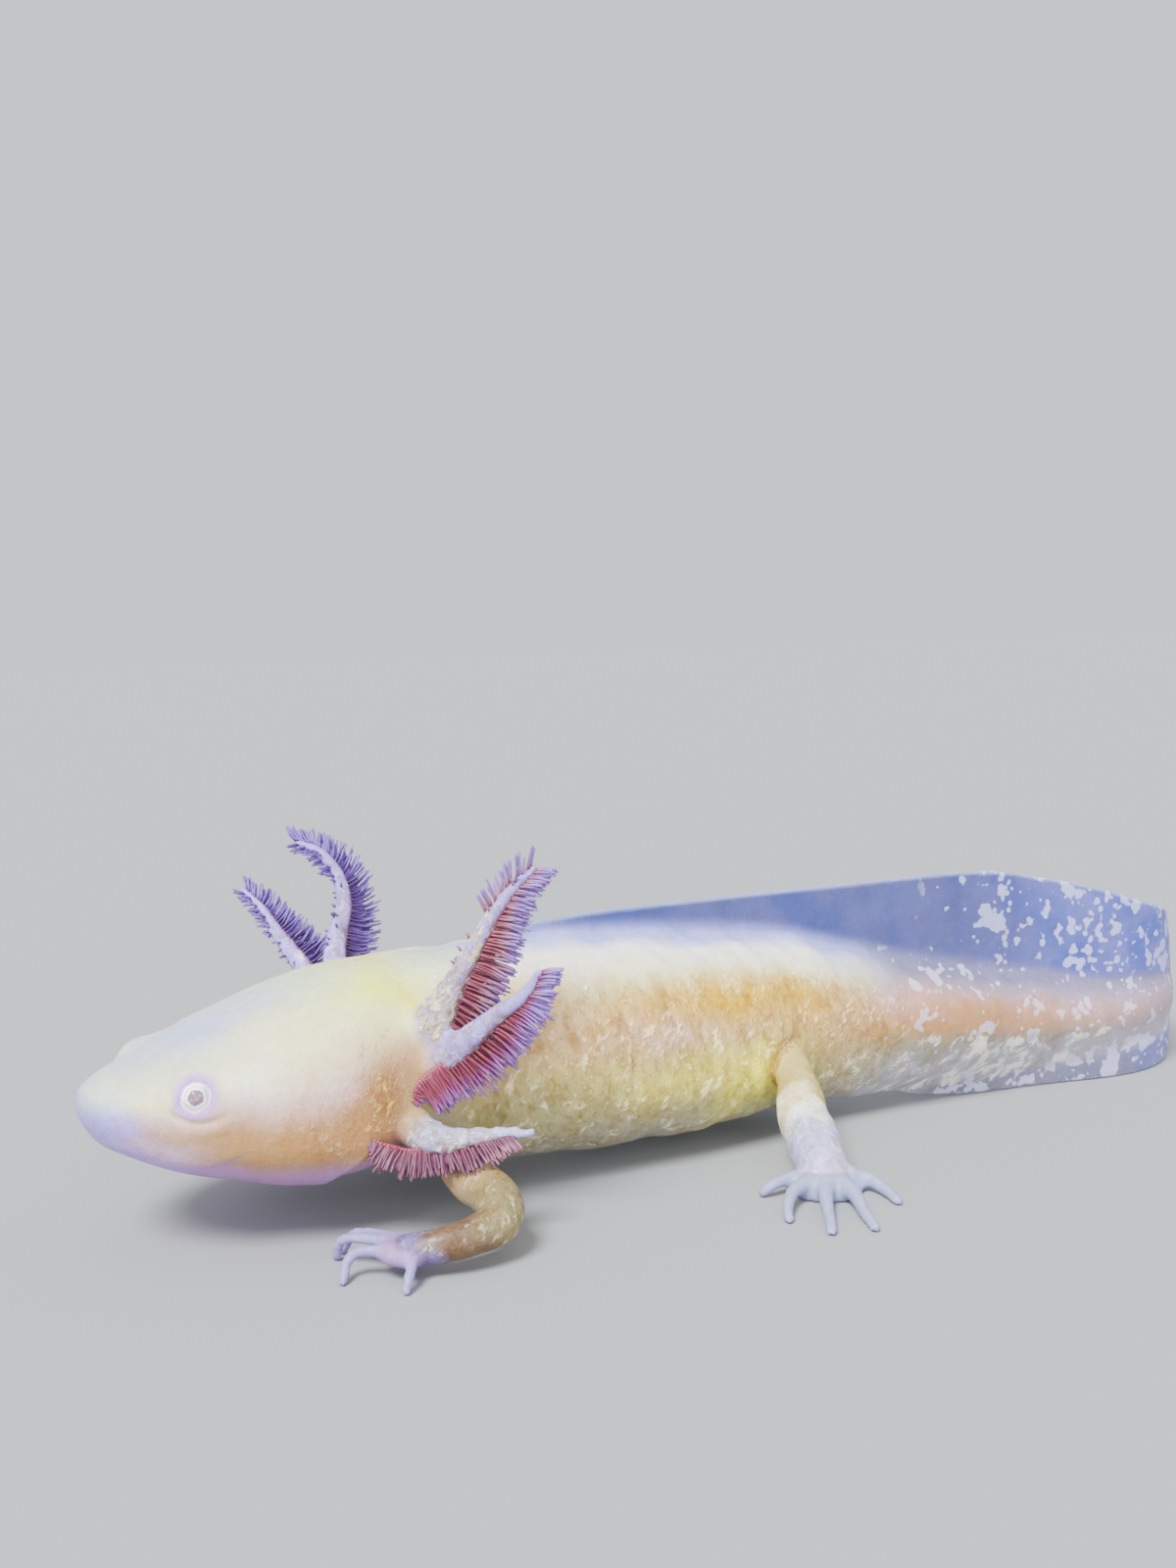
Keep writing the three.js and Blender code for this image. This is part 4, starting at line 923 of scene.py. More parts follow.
class Nodes:
    """A short way to write a node material."""

    def __init__(self, name):
        self.material = bpy.data.materials.new(name)
        self.material.use_nodes = True
        self.tree = self.material.node_tree
        self.tree.nodes.clear()

    def add(self, kind, output=0, settings=None, **inputs):
        """Adds a node. Inputs are numbers, colours or other nodes' outputs; _ in a name is a space."""
        node = self.tree.nodes.new("ShaderNode" + kind)
        for key, value in (settings or {}).items():
            setattr(node, key, value)
        for key, value in inputs.items():
            socket = node.inputs[int(key[1:]) if key[1:].isdigit() else key.replace("_", " ")]
            if isinstance(value, bpy.types.NodeSocket):
                self.tree.links.new(value, socket)
            else:
                socket.default_value = value
        return node.outputs[output] if node.outputs else node

    def number(self, name):
        return self.add("Attribute", 2, {"attribute_name": name})

    def colour(self, name):
        return self.add("Attribute", 0, {"attribute_name": name})

    def math(self, operation, a, b=0.0, c=0.0):
        return self.add("Math", 0, {"operation": operation}, i0=a, i1=b, i2=c)

    def plus(self, a, b):
        return self.math("ADD", a, b)

    def minus(self, a, b):
        return self.math("SUBTRACT", a, b)

    def times(self, a, b):
        return self.math("MULTIPLY", a, b)

    def line(self, value, slope, start):
        return self.math("MULTIPLY_ADD", value, slope, start)

    def soft(self, value, low, high, first=0.0, last=1.0):
        """A soft step from first at low to last at high."""
        settings = {"interpolation_type": "SMOOTHSTEP"}
        return self.add("MapRange", 0, settings, Value=value, From_Min=low, From_Max=high,
                        To_Min=first, To_Max=last)

    def blend(self, share, a, b, mode="MIX"):
        settings = {"data_type": "RGBA", "blend_type": mode}
        return self.add("Mix", 2, settings, i0=share, i6=a, i7=b)

    def filtered(self, share, tint, colour):
        """A tint as if seen through a coloured filter, as much as the share says."""
        return self.blend(share, tint, self.blend(1.0, tint, colour, "MULTIPLY"))

    def place(self, size=(1, 1, 1), turn=0.0):
        """The place on the object, turned about the side axis and measured in sizes in millimetres."""
        return self.add("Mapping", 0, {"vector_type": "TEXTURE"}, Vector=self.add("TexCoord", 3),
                        Rotation=(0, turn, 0), Scale=[value * MM for value in size])

    def noise(self, vector, scale, detail=2.0, roughness=0.5, warp=0.0):
        return self.add("TexNoise", Vector=vector, Scale=scale, Detail=detail, Roughness=roughness,
                        Distortion=warp)

    def bump(self, height, distance, strength=1.0, under=None):
        """A bump of a height in millimetres, over any other bump."""
        links = {} if under is None else {"Normal": under}
        return self.add("Bump", Height=height, Distance=distance * MM, Strength=strength, **links)

    def shader(self, **inputs):
        self.output(self.add("BsdfPrincipled", **inputs))

    def output(self, shader):
        self.add("OutputMaterial", Surface=shader)


def rgba(pigment):
    return (*pigment, 1)


# Filters that a tint is seen through.
GOLD_CLOUD, OLIVE_CLOUD, PALE_CLOUD = (0.96, 0.84, 0.50, 1), (0.74, 0.64, 0.46, 1), (1.22, 1.2, 1.16, 1)
# The hollows' filter is painted shade between the tail's low ridges.
THREAD_SHADE, HOLLOW_PAINTED_SHADE = (0.70, 0.60, 0.40, 1), (0.6, 0.56, 0.42, 1)
FLECK_LIGHT, BLOTCH_LIGHT, FILAMENT_LIGHT = (2.2, 2.1, 2.2, 1), (1.6, 1.6, 1.6, 1), (1.7, 1.7, 1.7, 1)
SPECK_SHADE = (0.85, 0.72, 0.9, 1)
VEIL_COOL, VEIL_WARM = (0.62, 0.74, 0.9, 1), (1.15, 1.08, 1.0, 1)
# The stretched textures: size along, across and up, and how far they are turned, in radians.
RIB_CLOUDS = (0.9, 0.9, 2.2), -0.15
THREADS = (0.75, 0.75, 1.5), -0.4
GRAINS = (0.95, 0.7, 0.5), -1.0
DROPS, FINE_DROPS = ((1.35, 1.2, 0.9), -1.0), ((0.7, 0.65, 0.5), -1.0)
RIDGES = (2.9, 2.1, 1.5), -0.7
BLOTCH_LEVEL, BLOTCH_CROWD = 0.725, -0.165     # how rare blotches are, and how the crowd changes it


def cloudy_tint(n, place, tint, fleck):
    """Soft clouds: golden, then upright olive ones between the ribs, then pale, and a fine grain."""
    cloud = n.noise(place, 0.4, 3)
    share = n.times(n.soft(cloud, 0.38, 0.68, 0.0, 0.55), n.soft(fleck, 0.0, 0.4, 0.45, 1.0))
    tint = n.filtered(share, tint, GOLD_CLOUD)
    upright = n.noise(n.place(*RIB_CLOUDS), 1.0, 3, 0.6)
    share = n.times(n.soft(upright, 0.46, 0.64, 0.0, 0.7), n.soft(fleck, 0.0, 0.6, 0.2, 1.0))
    tint = n.filtered(share, tint, OLIVE_CLOUD)
    mottle = n.noise(place, 1.0, 4, 0.6)
    tint = n.filtered(n.soft(mottle, 0.45, 0.7, 0.0, 0.4), tint, PALE_CLOUD)
    grain = n.soft(n.noise(place, 8.0, 2), 0.3, 0.7, 0.9, 1.08)
    grey = n.add("CombineColor", Red=grain, Green=grain, Blue=grain)
    return n.blend(1.0, tint, grey, "MULTIPLY"), mottle


def threads(n, tint, fleck):
    """Darker threads between the ribs."""
    thread = n.noise(n.place(*THREADS), 1.0, 3, 0.6, 0.4)
    shade = n.times(n.soft(thread, 0.52, 0.34, 0.0, 0.6), n.soft(fleck, 0.05, 0.7))
    return n.filtered(shade, tint, THREAD_SHADE), thread


def grains(n, tint):
    """Grains on the gills' roots and behind the cheeks."""
    gold = n.number("gold")
    grit = n.minus(n.noise(n.place(*GRAINS), 1.0, 4.5, 0.66, 0.5), n.line(gold, -0.18, 0.66))
    grit = n.times(n.soft(grit, -0.06, 0.1), n.soft(gold, 0.02, 0.2))
    return n.blend(n.times(grit, 0.85), tint, n.colour("grit")), grit


def flecks(n, place, tint, fleck):
    """Soft pale flecks that slant up towards the tail: scattered drops, and faint fine ones between."""
    crowd = n.soft(n.noise(place, 0.33, 2), 0.4, 0.62, -0.05, 0.04)
    drops = n.plus(n.noise(n.place(*DROPS), 1.0, 2.5, 0.55, 0.3), crowd)
    drops = n.soft(n.minus(drops, n.line(fleck, -0.1, 0.7)), -0.05, 0.12)
    fine = n.plus(n.noise(n.place(*FINE_DROPS), 1.0, 2, 0.55, 0.2), crowd)
    drops = n.math("MAXIMUM", drops, n.times(n.soft(fine, 0.56, 0.74), 0.6))
    share = n.times(n.times(drops, 0.85), n.soft(fleck, 0.03, 0.35))
    bright = n.blend(0.45, n.blend(1.0, tint, FLECK_LIGHT, "MULTIPLY"), rgba(FLECK))
    return n.blend(share, tint, bright), share


def blotches(n, place, tint):
    """Lobed pale blotches, evenly scattered, with smaller ones between them."""
    blotch = n.number("blotch")
    cells = n.add("TexVoronoi", Vector=place, Scale=1.25)
    ragged = n.line(cells, -0.22, 0.12)
    lobes = n.plus(n.noise(place, 0.42, 1, 0.5, 0.3), ragged)
    small = n.plus(n.noise(place, 0.9, 1, 0.5), n.times(ragged, 0.8))
    lobes = n.math("MAXIMUM", lobes, n.minus(small, 0.03))
    share = n.soft(n.minus(lobes, n.line(blotch, BLOTCH_CROWD, BLOTCH_LEVEL)), -0.012, 0.03)
    share = n.times(share, n.soft(blotch, 0.03, 0.2))
    pale = n.blend(0.3, rgba(BLOTCH), n.blend(1.0, tint, BLOTCH_LIGHT, "MULTIPLY"))
    return n.blend(n.times(share, 0.85), tint, pale), share


def ridges(n, tint):
    """Slanting pale ridges low on the tail, with painted shade in the hollows between them."""
    streak = n.number("streak")
    rows = n.noise(n.place(*RIDGES), 1.0, 3.5, 0.62, 0.5)
    # Painted shade: the hollows between the ridges are darkened.
    hollow = n.times(n.soft(rows, 0.52, 0.36), streak)
    tint = n.filtered(n.times(hollow, 0.6), tint, HOLLOW_PAINTED_SHADE)
    rows = n.minus(rows, n.line(streak, -0.15, 0.66))
    rows = n.times(n.soft(rows, -0.03, 0.08), n.soft(streak, 0.03, 0.3))
    return n.blend(n.times(rows, 0.8), tint, rgba(RIDGE)), rows


def fin_veil(n, place, tint, spots):
    """The fin lets some light through between its blotches, and has cool and warm clouds there."""
    fin = n.number("clear")
    cloud = n.soft(n.noise(place, 0.16, 2, 0.5), 0.36, 0.62)
    bare = n.times(fin, n.minus(1.0, spots))
    tint = n.filtered(bare, tint, n.blend(cloud, VEIL_COOL, VEIL_WARM))
    clear = n.times(fin, n.line(spots, -0.85, 1.0))
    return tint, n.line(clear, -FIN_CLEAR, 1.0)


def skin_material():
    """Moist, slightly see-through skin, with pale flecks on the flanks and blotches on the tail."""
    n = Nodes("skin_colour")
    place, fleck = n.place(), n.number("fleck")
    tint, mottle = cloudy_tint(n, place, n.colour("tint"), fleck)
    tint, thread = threads(n, tint, fleck)
    tint, grit = grains(n, tint)
    tint, spots = flecks(n, place, tint, fleck)
    tint, blots = blotches(n, place, tint)
    tint, rows = ridges(n, tint)
    tint, alpha = fin_veil(n, place, tint, blots)
    bumps = n.bump(mottle, 0.22, 0.6)
    bumps = n.bump(n.plus(n.plus(spots, grit), rows), 0.2, 0.7, bumps)
    bumps = n.bump(thread, 0.24, n.soft(fleck, 0.05, 0.7), bumps)
    bumps = n.bump(n.noise(place, 4.5, 4, 0.55), 0.05, 0.6, bumps)
    bumps = n.bump(n.noise(place, 16.0, 2), 0.01, 0.5, bumps)
    n.shader(Base_Color=tint, Roughness=n.soft(mottle, 0.3, 0.7, 0.38, 0.52), Alpha=alpha, Normal=bumps,
             Subsurface_Weight=0.2, Subsurface_Radius=(1.0, 0.5, 0.25), Subsurface_Scale=0.9 * MM,
             Specular_IOR_Level=0.35, Coat_Weight=0.12, Coat_Roughness=0.2)
    return n.material


def eye_material():
    """The painted eyeball, with fine specks, a wet surface and a painted glow that keeps its white iris
    bright in shade.
    """
    n = Nodes("eye_colour")
    speck = n.noise(n.place(), 7.0, 3, 0.6)
    tint = n.filtered(n.soft(speck, 0.5, 0.75, 0.0, 0.25), n.colour("tint"), SPECK_SHADE)
    n.shader(Base_Color=tint, Roughness=n.soft(speck, 0.3, 0.7, 0.25, 0.4),
             Normal=n.bump(speck, 0.02, 0.5),
             # Painted glow: the eye's own colour lit from within, standing in for light.
             Emission_Color=n.blend(1.0, tint, tint, "MULTIPLY"), Emission_Strength=EYE_PAINTED_GLOW,
             Coat_Weight=0.6, Coat_Roughness=0.08)
    return n.material


def cornea_material():
    """A clear, wet film that only mirrors."""
    n = Nodes("cornea_clear")
    film = n.add("BsdfGlossy", Color=(1, 1, 1, 1), Roughness=0.06)
    clear = n.add("BsdfTransparent", Color=(1, 1, 1, 1))
    n.output(n.add("MixShader", i0=n.add("Fresnel", IOR=1.33), i1=clear, i2=film))
    return n.material


def fringe_material():
    """Blood-filled filaments: thin, soft and moist."""
    n = Nodes("filament_colour")
    streaks = n.noise(n.place(), 3.5, 3)
    tint = n.filtered(n.soft(streaks, 0.5, 0.72, 0.0, 0.6), n.colour("tint"), FILAMENT_LIGHT)
    n.shader(Base_Color=tint, Roughness=n.soft(streaks, 0.3, 0.7, 0.34, 0.5),
             Normal=n.bump(n.noise(n.place(), 14.0, 2), 0.01, 0.5),
             Subsurface_Weight=0.25, Subsurface_Radius=(1.0, 0.3, 0.4), Subsurface_Scale=0.3 * MM,
             Coat_Weight=0.15, Coat_Roughness=0.2)
    return n.material


# ---------------------------------------------------------------------------
# Pigments, some with painted shade, as linear colours, and where they lie on the skin
# ---------------------------------------------------------------------------

WHITE = [0.96, 0.96, 0.95]
WHITE_BLUE = [0.42, 0.49, 0.88]
CREAM = [0.90, 0.86, 0.50]
CREST = [0.93, 0.92, 0.74]
BACK_BLUE = [0.42, 0.45, 0.93]
# Painted shade: a darker blue along the top of the back, where the fin rises.
BACK_PAINTED_SHADE = [0.24, 0.26, 0.68]
LEMON = [0.86, 0.96, 0.14]
LIP = [0.60, 0.44, 0.66]
RUST = [0.26, 0.11, 0.03]
BLOTCH = [0.66, 0.66, 0.93]
RIDGE = [0.90, 0.88, 0.74]
PALE_GREEN = [0.70, 0.86, 0.46]
SNOUT_BLUE = [0.15, 0.36, 0.93]
LAVENDER = [0.46, 0.27, 0.93]
LILAC = [0.70, 0.47, 0.46]
MAUVE = [0.42, 0.21, 0.50]
THROAT = [0.44, 0.38, 0.52]
PEACH = [0.68, 0.44, 0.21]
CHEEK = [0.46, 0.26, 0.10]
ORANGE = [0.42, 0.19, 0.05]
GOLD = [0.70, 0.44, 0.01]
YELLOW = [0.93, 0.90, 0.09]
OLIVE = [0.44, 0.40, 0.17]
SAND = [0.58, 0.44, 0.17]
BELLY = [0.36, 0.34, 0.26]
# The fin's own blue, darkened with painted shade as if dark surroundings showed through it.
FIN_BLUE_AND_SHADE = [0.075, 0.092, 0.35]
FIN_PALE = [0.15, 0.18, 0.66]
TAIL_PINK = [0.62, 0.33, 0.29]
TAIL_GOLD = [0.54, 0.28, 0.10]
TAIL_LOW = [0.45, 0.44, 0.52]
TAIL_OLIVE = [0.30, 0.27, 0.20]
TAIL_LILAC = [0.38, 0.30, 0.40]
TAIL_EDGE = [0.17, 0.17, 0.34]
LIMB = [0.44, 0.29, 0.15]
ELBOW = [0.26, 0.22, 0.10]
FOREARM = [0.16, 0.095, 0.05]
WRIST = [0.18, 0.15, 0.46]
FINGER = [0.30, 0.29, 0.62]
THIGH = [0.52, 0.43, 0.15]
TOE = [0.56, 0.50, 0.93]
STALK = [0.40, 0.33, 0.95]
STALK_GOLD = [0.56, 0.38, 0.20]
STALK_PALE = [0.46, 0.45, 0.80]
FLECK = [0.93, 0.88, 0.66]
GRAIN_GOLD = [0.86, 0.52, 0.10]
CRIMSON = [0.20, 0.032, 0.062]
MAGENTA = [0.26, 0.07, 0.26]
ROSE = [0.17, 0.055, 0.11]
GRAIN_PALE = [0.84, 0.82, 0.90]
DUSK_PINK = [0.32, 0.14, 0.21]
PINK_TIP = [0.26, 0.14, 0.48]
# Painted violet shade: the right side's gill filaments, the same blood-red ones as on the left, as they
# look in shade.
FAR_GILL_SHADE_ROOT = [0.055, 0.018, 0.12]
FAR_GILL_SHADE = [0.085, 0.035, 0.22]
FAR_GILL_SHADE_TIP = [0.17, 0.09, 0.42]
PUPIL = [0.24, 0.14, 0.18]
PUPIL_RIM = [0.10, 0.05, 0.11]
RING = [0.98, 0.97, 1.0]

FIN_CLEAR = 0.2                   # how see-through the fin is
EYE_PAINTED_GLOW = 1.0                    # painted glow: the iris shines by itself, standing in for the light its mirror layer throws back

# Pigments from the underside (0) to the back (1).
HEAD_SHADES = [(0.0, MAUVE), (0.14, MAUVE), (0.26, CHEEK), (0.42, CHEEK), (0.6, LILAC), (0.8, CREAM),
               (0.95, CREAM), (1.02, WHITE_BLUE)]
# The trunk's top row is painted shade where the fin rises from the back.
TRUNK_SHADES = [(0.0, BELLY), (0.1, BELLY), (0.28, OLIVE), (0.48, SAND), (0.66, PEACH), (0.8, CREAM),
                (0.88, CREST), (0.955, WHITE), (0.99, BACK_BLUE), (1.03, BACK_PAINTED_SHADE)]
TAIL_SHADES = [(0.0, TAIL_LOW), (0.2, TAIL_LOW), (0.36, TAIL_OLIVE), (0.52, TAIL_GOLD),
               (0.68, TAIL_PINK), (0.8, TAIL_LILAC), (0.95, TAIL_EDGE), (1.0, TAIL_EDGE)]
FIN_SHADES = [(86, FIN_BLUE_AND_SHADE), (106, FIN_PALE)]     # by distance behind the snout
FORE_SHADES = [(0.0, OLIVE), (0.2, SAND), (0.4, LIMB), (0.56, ELBOW), (0.7, ELBOW), (0.8, FOREARM),
               (0.9, FOREARM), (0.97, WRIST)]
HIND_SHADES = [(0.0, OLIVE), (0.3, THIGH), (0.5, THIGH), (0.62, CREST), (0.82, WHITE_BLUE), (1.0, TOE)]

# Soft patches: pigment, strength, then distance behind the snout and height with their reaches.
PATCHES = [
    (SNOUT_BLUE, 1.0, -1.0, 3.6, 0.72, 0.75),
    (PALE_GREEN, 0.45, 5.0, 3.0, 0.95, 0.2),
    (LAVENDER, 0.8, 1.5, 1.6, 0.4, 0.22),
    (LAVENDER, 0.5, 4.5, 2.5, 0.14, 0.16),
    (LIP, 0.75, 4.2, 2.4, 0.28, 0.1),
    (YELLOW, 0.3, 4.2, 2.0, 0.70, 0.09),
    (WHITE_BLUE, 0.7, 8.0, 4.8, 1.04, 0.15),
    (WHITE, 0.6, 11.0, 3.0, 0.74, 0.12),
    (PALE_GREEN, 0.45, 14.0, 5.0, 0.84, 0.1),
    (PALE_GREEN, 0.7, 20.0, 3.0, 0.98, 0.1),
    (ORANGE, 0.75, 17.5, 3.8, 0.36, 0.16),
    (ORANGE, 0.4, 12.5, 3.5, 0.26, 0.1),
    (ORANGE, 0.95, 22.0, 2.6, 0.52, 0.2),
    (RUST, 0.55, 22.2, 2.2, 0.52, 0.16),
    (LEMON, 1.0, 24.8, 4.2, 0.93, 0.11),
    (PALE_GREEN, 0.6, 30.0, 3.0, 0.97, 0.07),
    (YELLOW, 0.6, 26.0, 1.4, 0.86, 0.05),
    (THROAT, 0.9, 24.5, 4.0, 0.14, 0.16),
    (GOLD, 1.0, 56.5, 9.0, 0.74, 0.11),
    (GOLD, 0.9, 65.5, 4.0, 0.68, 0.12),
    (GOLD, 0.35, 45.0, 5.0, 0.72, 0.07),
    (PEACH, 0.55, 38.0, 6.0, 0.8, 0.1),
    (LILAC, 0.45, 50.0, 5.0, 0.58, 0.06),
    (YELLOW, 0.45, 50.0, 9.0, 0.38, 0.1),
    (YELLOW, 1.0, 58.5, 4.8, 0.3, 0.17),
    (OLIVE, 0.7, 37.0, 5.0, 0.3, 0.14),
    (PEACH, 0.35, 70.0, 4.0, 0.5, 0.2),
    (WHITE_BLUE, 0.3, 72.0, 5.0, 0.97, 0.08),
    (TAIL_PINK, 0.6, 79.0, 5.0, 0.76, 0.12),
    (TAIL_GOLD, 1.0, 87.0, 7.0, 0.66, 0.15),
    (TAIL_PINK, 0.4, 103.0, 6.0, 0.55, 0.18),
    (TAIL_LILAC, 0.9, 118.0, 20.0, 0.5, 0.9),
]

GRAIN_CROWDS = [0.8, 0.35, 0.7, 0.4, 0.4, 0.4]     # for each gill


def shades(share, rows):
    """Pigments by a share, blended between the rows."""
    at = [row[0] for row in rows]
    return np.stack([np.interp(share, at, [row[1][i] for row in rows]) for i in range(3)], -1)


def lay(tint, pigment, share):
    """A tint with some pigment laid over it."""
    return tint + (np.asarray(pigment) - tint) * np.clip(share, 0, 1)[:, None]


def skin_tint(marks):
    """The colour of each place on the skin, with painted shade in some creases, at the top of the back
    and on the fin.
    """
    points = marks.points
    s = marks.s + 0.9 * waves(points, 9, 11)
    height = marks.height + (0.025 - 0.018 * rise(marks.height, 0.8, 0.93)) * waves(points, 6, 12)
    tint = shades(height, TRUNK_SHADES)
    tint = lay(tint, WHITE, 0.7 * rise(height, 0.97, 1.0) * rise(s, 56, 46) * rise(marks.out, 0.3, 2.2))
    tint = lay(tint, shades(height, HEAD_SHADES), rise(s, 27, 19))
    tint = lay(tint, shades(height, TAIL_SHADES), rise(s, 66, 80))
    for pigment, strength, s_at, s_reach, height_at, height_reach in PATCHES:
        share = strength * bell(s, s_at, s_reach) * bell(height, height_at, height_reach)
        tint = lay(tint, pigment, share)
    tint = paint_face(tint, marks)
    tint = paint_gills(tint, marks)
    tint = paint_limbs(tint, marks)
    # Painted shade: orange where the flank folds over the front of each hind leg.
    crease = bell(marks.off_body - marks.limb, 0, 0.5) * rise(marks.off_body, 1.5, 0.7)
    tint = lay(tint, ORANGE, 0.75 * crease * groin_front(marks))
    fin = fin_share(marks)
    # The fin's blue, partly painted shade, darker towards the front.
    tint = lay(tint, shades(s, FIN_SHADES), fin)
    low = 0.6 * fin * rise(marks.z, marks.widest, marks.bottom)
    tint = lay(tint, TAIL_OLIVE, low * rise(s, 118, 100))
    # Painted shade: orange along the crease under each eye.
    under = 0
    for side in (LEFT, RIGHT):
        crease, along = crease_under(marks, side)
        near = (marks.out * side > 0) & (along < 2.0)
        under = under + bell(np.where(near, crease, FAR), 0, 0.25)
    tint = lay(tint, ORANGE, 0.3 * under)
    return lay(tint, WHITE_BLUE, 0.6 * fin * rise(fin_depth(marks), 0.45, 0.1))


def paint_face(tint, marks):
    """Lavender and white round the eyes, painted orange shade in the crease behind them, and mauve
    nostrils and mouth line.
    """
    points = marks.points
    for side in (LEFT, RIGHT):
        gap = eye_gap(points, side)
        eye_s, eye_out, eye_z = EYE_PLACES[side]
        tint = lay(tint, LAVENDER, 0.9 * bell(gap, EYE_RADIUS + 0.15, 0.42))
        tint = lay(tint, WHITE, 0.9 * rise(gap, EYE_RADIUS + 0.12, EYE_RADIUS))
        # Painted shade: orange in the crease below and behind the eye.
        behind = points - body_point(eye_s + 1.7, side * (eye_out + 0.9), eye_z - 0.8)
        tint = lay(tint, ORANGE, 0.45 * bell(np.linalg.norm(behind, axis=1), 0, 0.9))
        tint = lay(tint, MAUVE, 0.6 * bell(nostril_gap(points, side), 0, 0.3))
    line = bell(marks.z - mouth_height(marks.s), 0, 0.14) * rise(marks.s, MOUTH_END, 9.4)
    return lay(tint, MAUVE, 0.45 * line)


def fin_depth(marks):
    """How far a place on the fin lies inside its edge."""
    return np.minimum(marks.fin_high - marks.z, marks.z - marks.fin_low)


def fin_share(marks):
    """1 on the thin fin, 0 on the flesh."""
    clear_of_parts = rise(marks.gill, 0.3, 1.0) * rise(marks.limb, 0.3, 1.0)
    return rise(marks.off_body, 0.25, 1.7) * clear_of_parts * rise(marks.s, 34, 40)


def paint_gills(tint, marks):
    """Pale stalks with golden roots, and blood-red skin where the filaments stand."""
    lies = unit(np.array([plan["lie"] for plan in GILLS.values()]))[marks.gill_name]
    towards = (marks.normals * lies).sum(1)
    share = marks.gill_share + 0.06 * waves(marks.points, 2.0, 13)
    name = marks.gill_name
    lower = name == LOWER_GILL
    stalk = rise(marks.gill, 0.7, 0.15) * rise(marks.off_body - 0.5 * lower, 0.2, 1.3)
    grain = 0.5 + 0.5 * waves(marks.points, 0.9, 16)
    tint = lay(tint, np.where(lower[:, None], STALK_PALE, STALK), stalk)
    golden = stalk * 0.6 * rise(share, 0.5 + 0.45 * (name == 0), 0.2) * (name < FIRST_RIGHT_GILL)
    tint = lay(tint, STALK_GOLD, golden * (0.3 + grain))
    tint = lay(tint, CRIMSON, 0.85 * stalk * rise(towards, 0.3, 0.7) * rise(share, 0.97, 0.85))
    slit = bell(marks.gill, 0.3, 0.45) * rise(marks.off_body, 1.5, 0.4) * rise(towards, 0.1, 0.6)
    return lay(tint, CRIMSON, 0.7 * slit * rise(marks.gill, 1.2, 0.6))


def paint_limbs(tint, marks):
    """Sandy legs with lavender toes."""
    leg = rise(marks.limb, 0.9, 0.2) * rise(marks.off_body, 0.2, 1.4)
    share = marks.limb_share + 0.04 * waves(marks.points, 3.0, 14)
    fore = marks.limb_name < FIRST_HIND_LEG
    tint = lay(tint, shades(share, FORE_SHADES), leg * fore)
    tint = lay(tint, shades(share, HIND_SHADES), leg * ~fore)
    reach = marks.limb + 0.3 * waves(marks.points, 2.5, 15)
    hand = rise(marks.off_body, 1.0, 2.0) * rise(marks.limb_share, 0.93, 0.99)
    toe = np.where(fore[:, None], FINGER, TOE)
    tint = lay(tint, toe, 0.8 * hand * rise(reach, 0.2, 2.2))
    return lay(tint, toe, 0.85 * rise(marks.digit, 0.5, 0.1) * rise(reach, 0.5, 2.0))


def paint_skin(mesh, marks):
    """Writes the colours and the density of flecks, blotches and clear fin to the skin."""
    s, height = marks.s, marks.height
    set_colour(mesh, "tint", skin_tint(marks))
    trunk = rise(marks.off_body, 1.2, 0.4) * rise(marks.gill, 0.2, 1.0)
    fleck = rise(s, 27, 36) * rise(s, 82, 68) * rise(height, 0.02, 0.14)
    fleck = fleck * rise(height, 0.94, 0.66) * trunk
    cheek = 0.3 * rise(s, 10, 15) * rise(s, 26, 22) * bell(height, 0.45, 0.25) * trunk
    leg = rise(marks.limb, 0.8, 0.2) * rise(marks.off_body, 0.8, 2.0)
    arm = 0.6 * leg * rise(marks.limb_share, 0.3, 0.6)
    arm = arm * np.where(marks.limb_name < FIRST_HIND_LEG, 1, 0.75)
    stalk = 1.1 * rise(marks.gill, 0.6, 0.1) * rise(marks.off_body, 0.6, 1.4)
    stalk = stalk * rise(marks.gill_share, 1.0, 0.6)
    set_number(mesh, "fleck", np.maximum.reduce([fleck, cheek, arm, 0.6 * stalk]))
    paint_grains(mesh, marks, trunk, stalk)
    fin = fin_share(marks)
    core = rise(s, 70, 84) * (1 - fin)
    streak = rise(s, 72, 80) * rise(s, 106, 94) * rise(height, 0.52, 0.3)
    streak = streak * rise(marks.off_body, 1.5, 0.6) * rise(marks.limb, 0.3, 1.0)
    set_number(mesh, "streak", streak)
    low_band = rise(s, 76, 88) * bell(marks.z, marks.bottom - 0.6, 2.2)
    end = rise(s, 78, 92) * fin * (0.72 + 0.2 * rise(s, 124, 104))
    right = 0.6 + 0.4 * rise(s, 92, 108)
    set_number(mesh, "blotch", np.maximum.reduce([0.6 * core * right, 1.2 * low_band, end * right]))
    set_number(mesh, "clear", fin * rise(fin_depth(marks), 0.1, 0.6) * (1 - 0.7 * low_band))


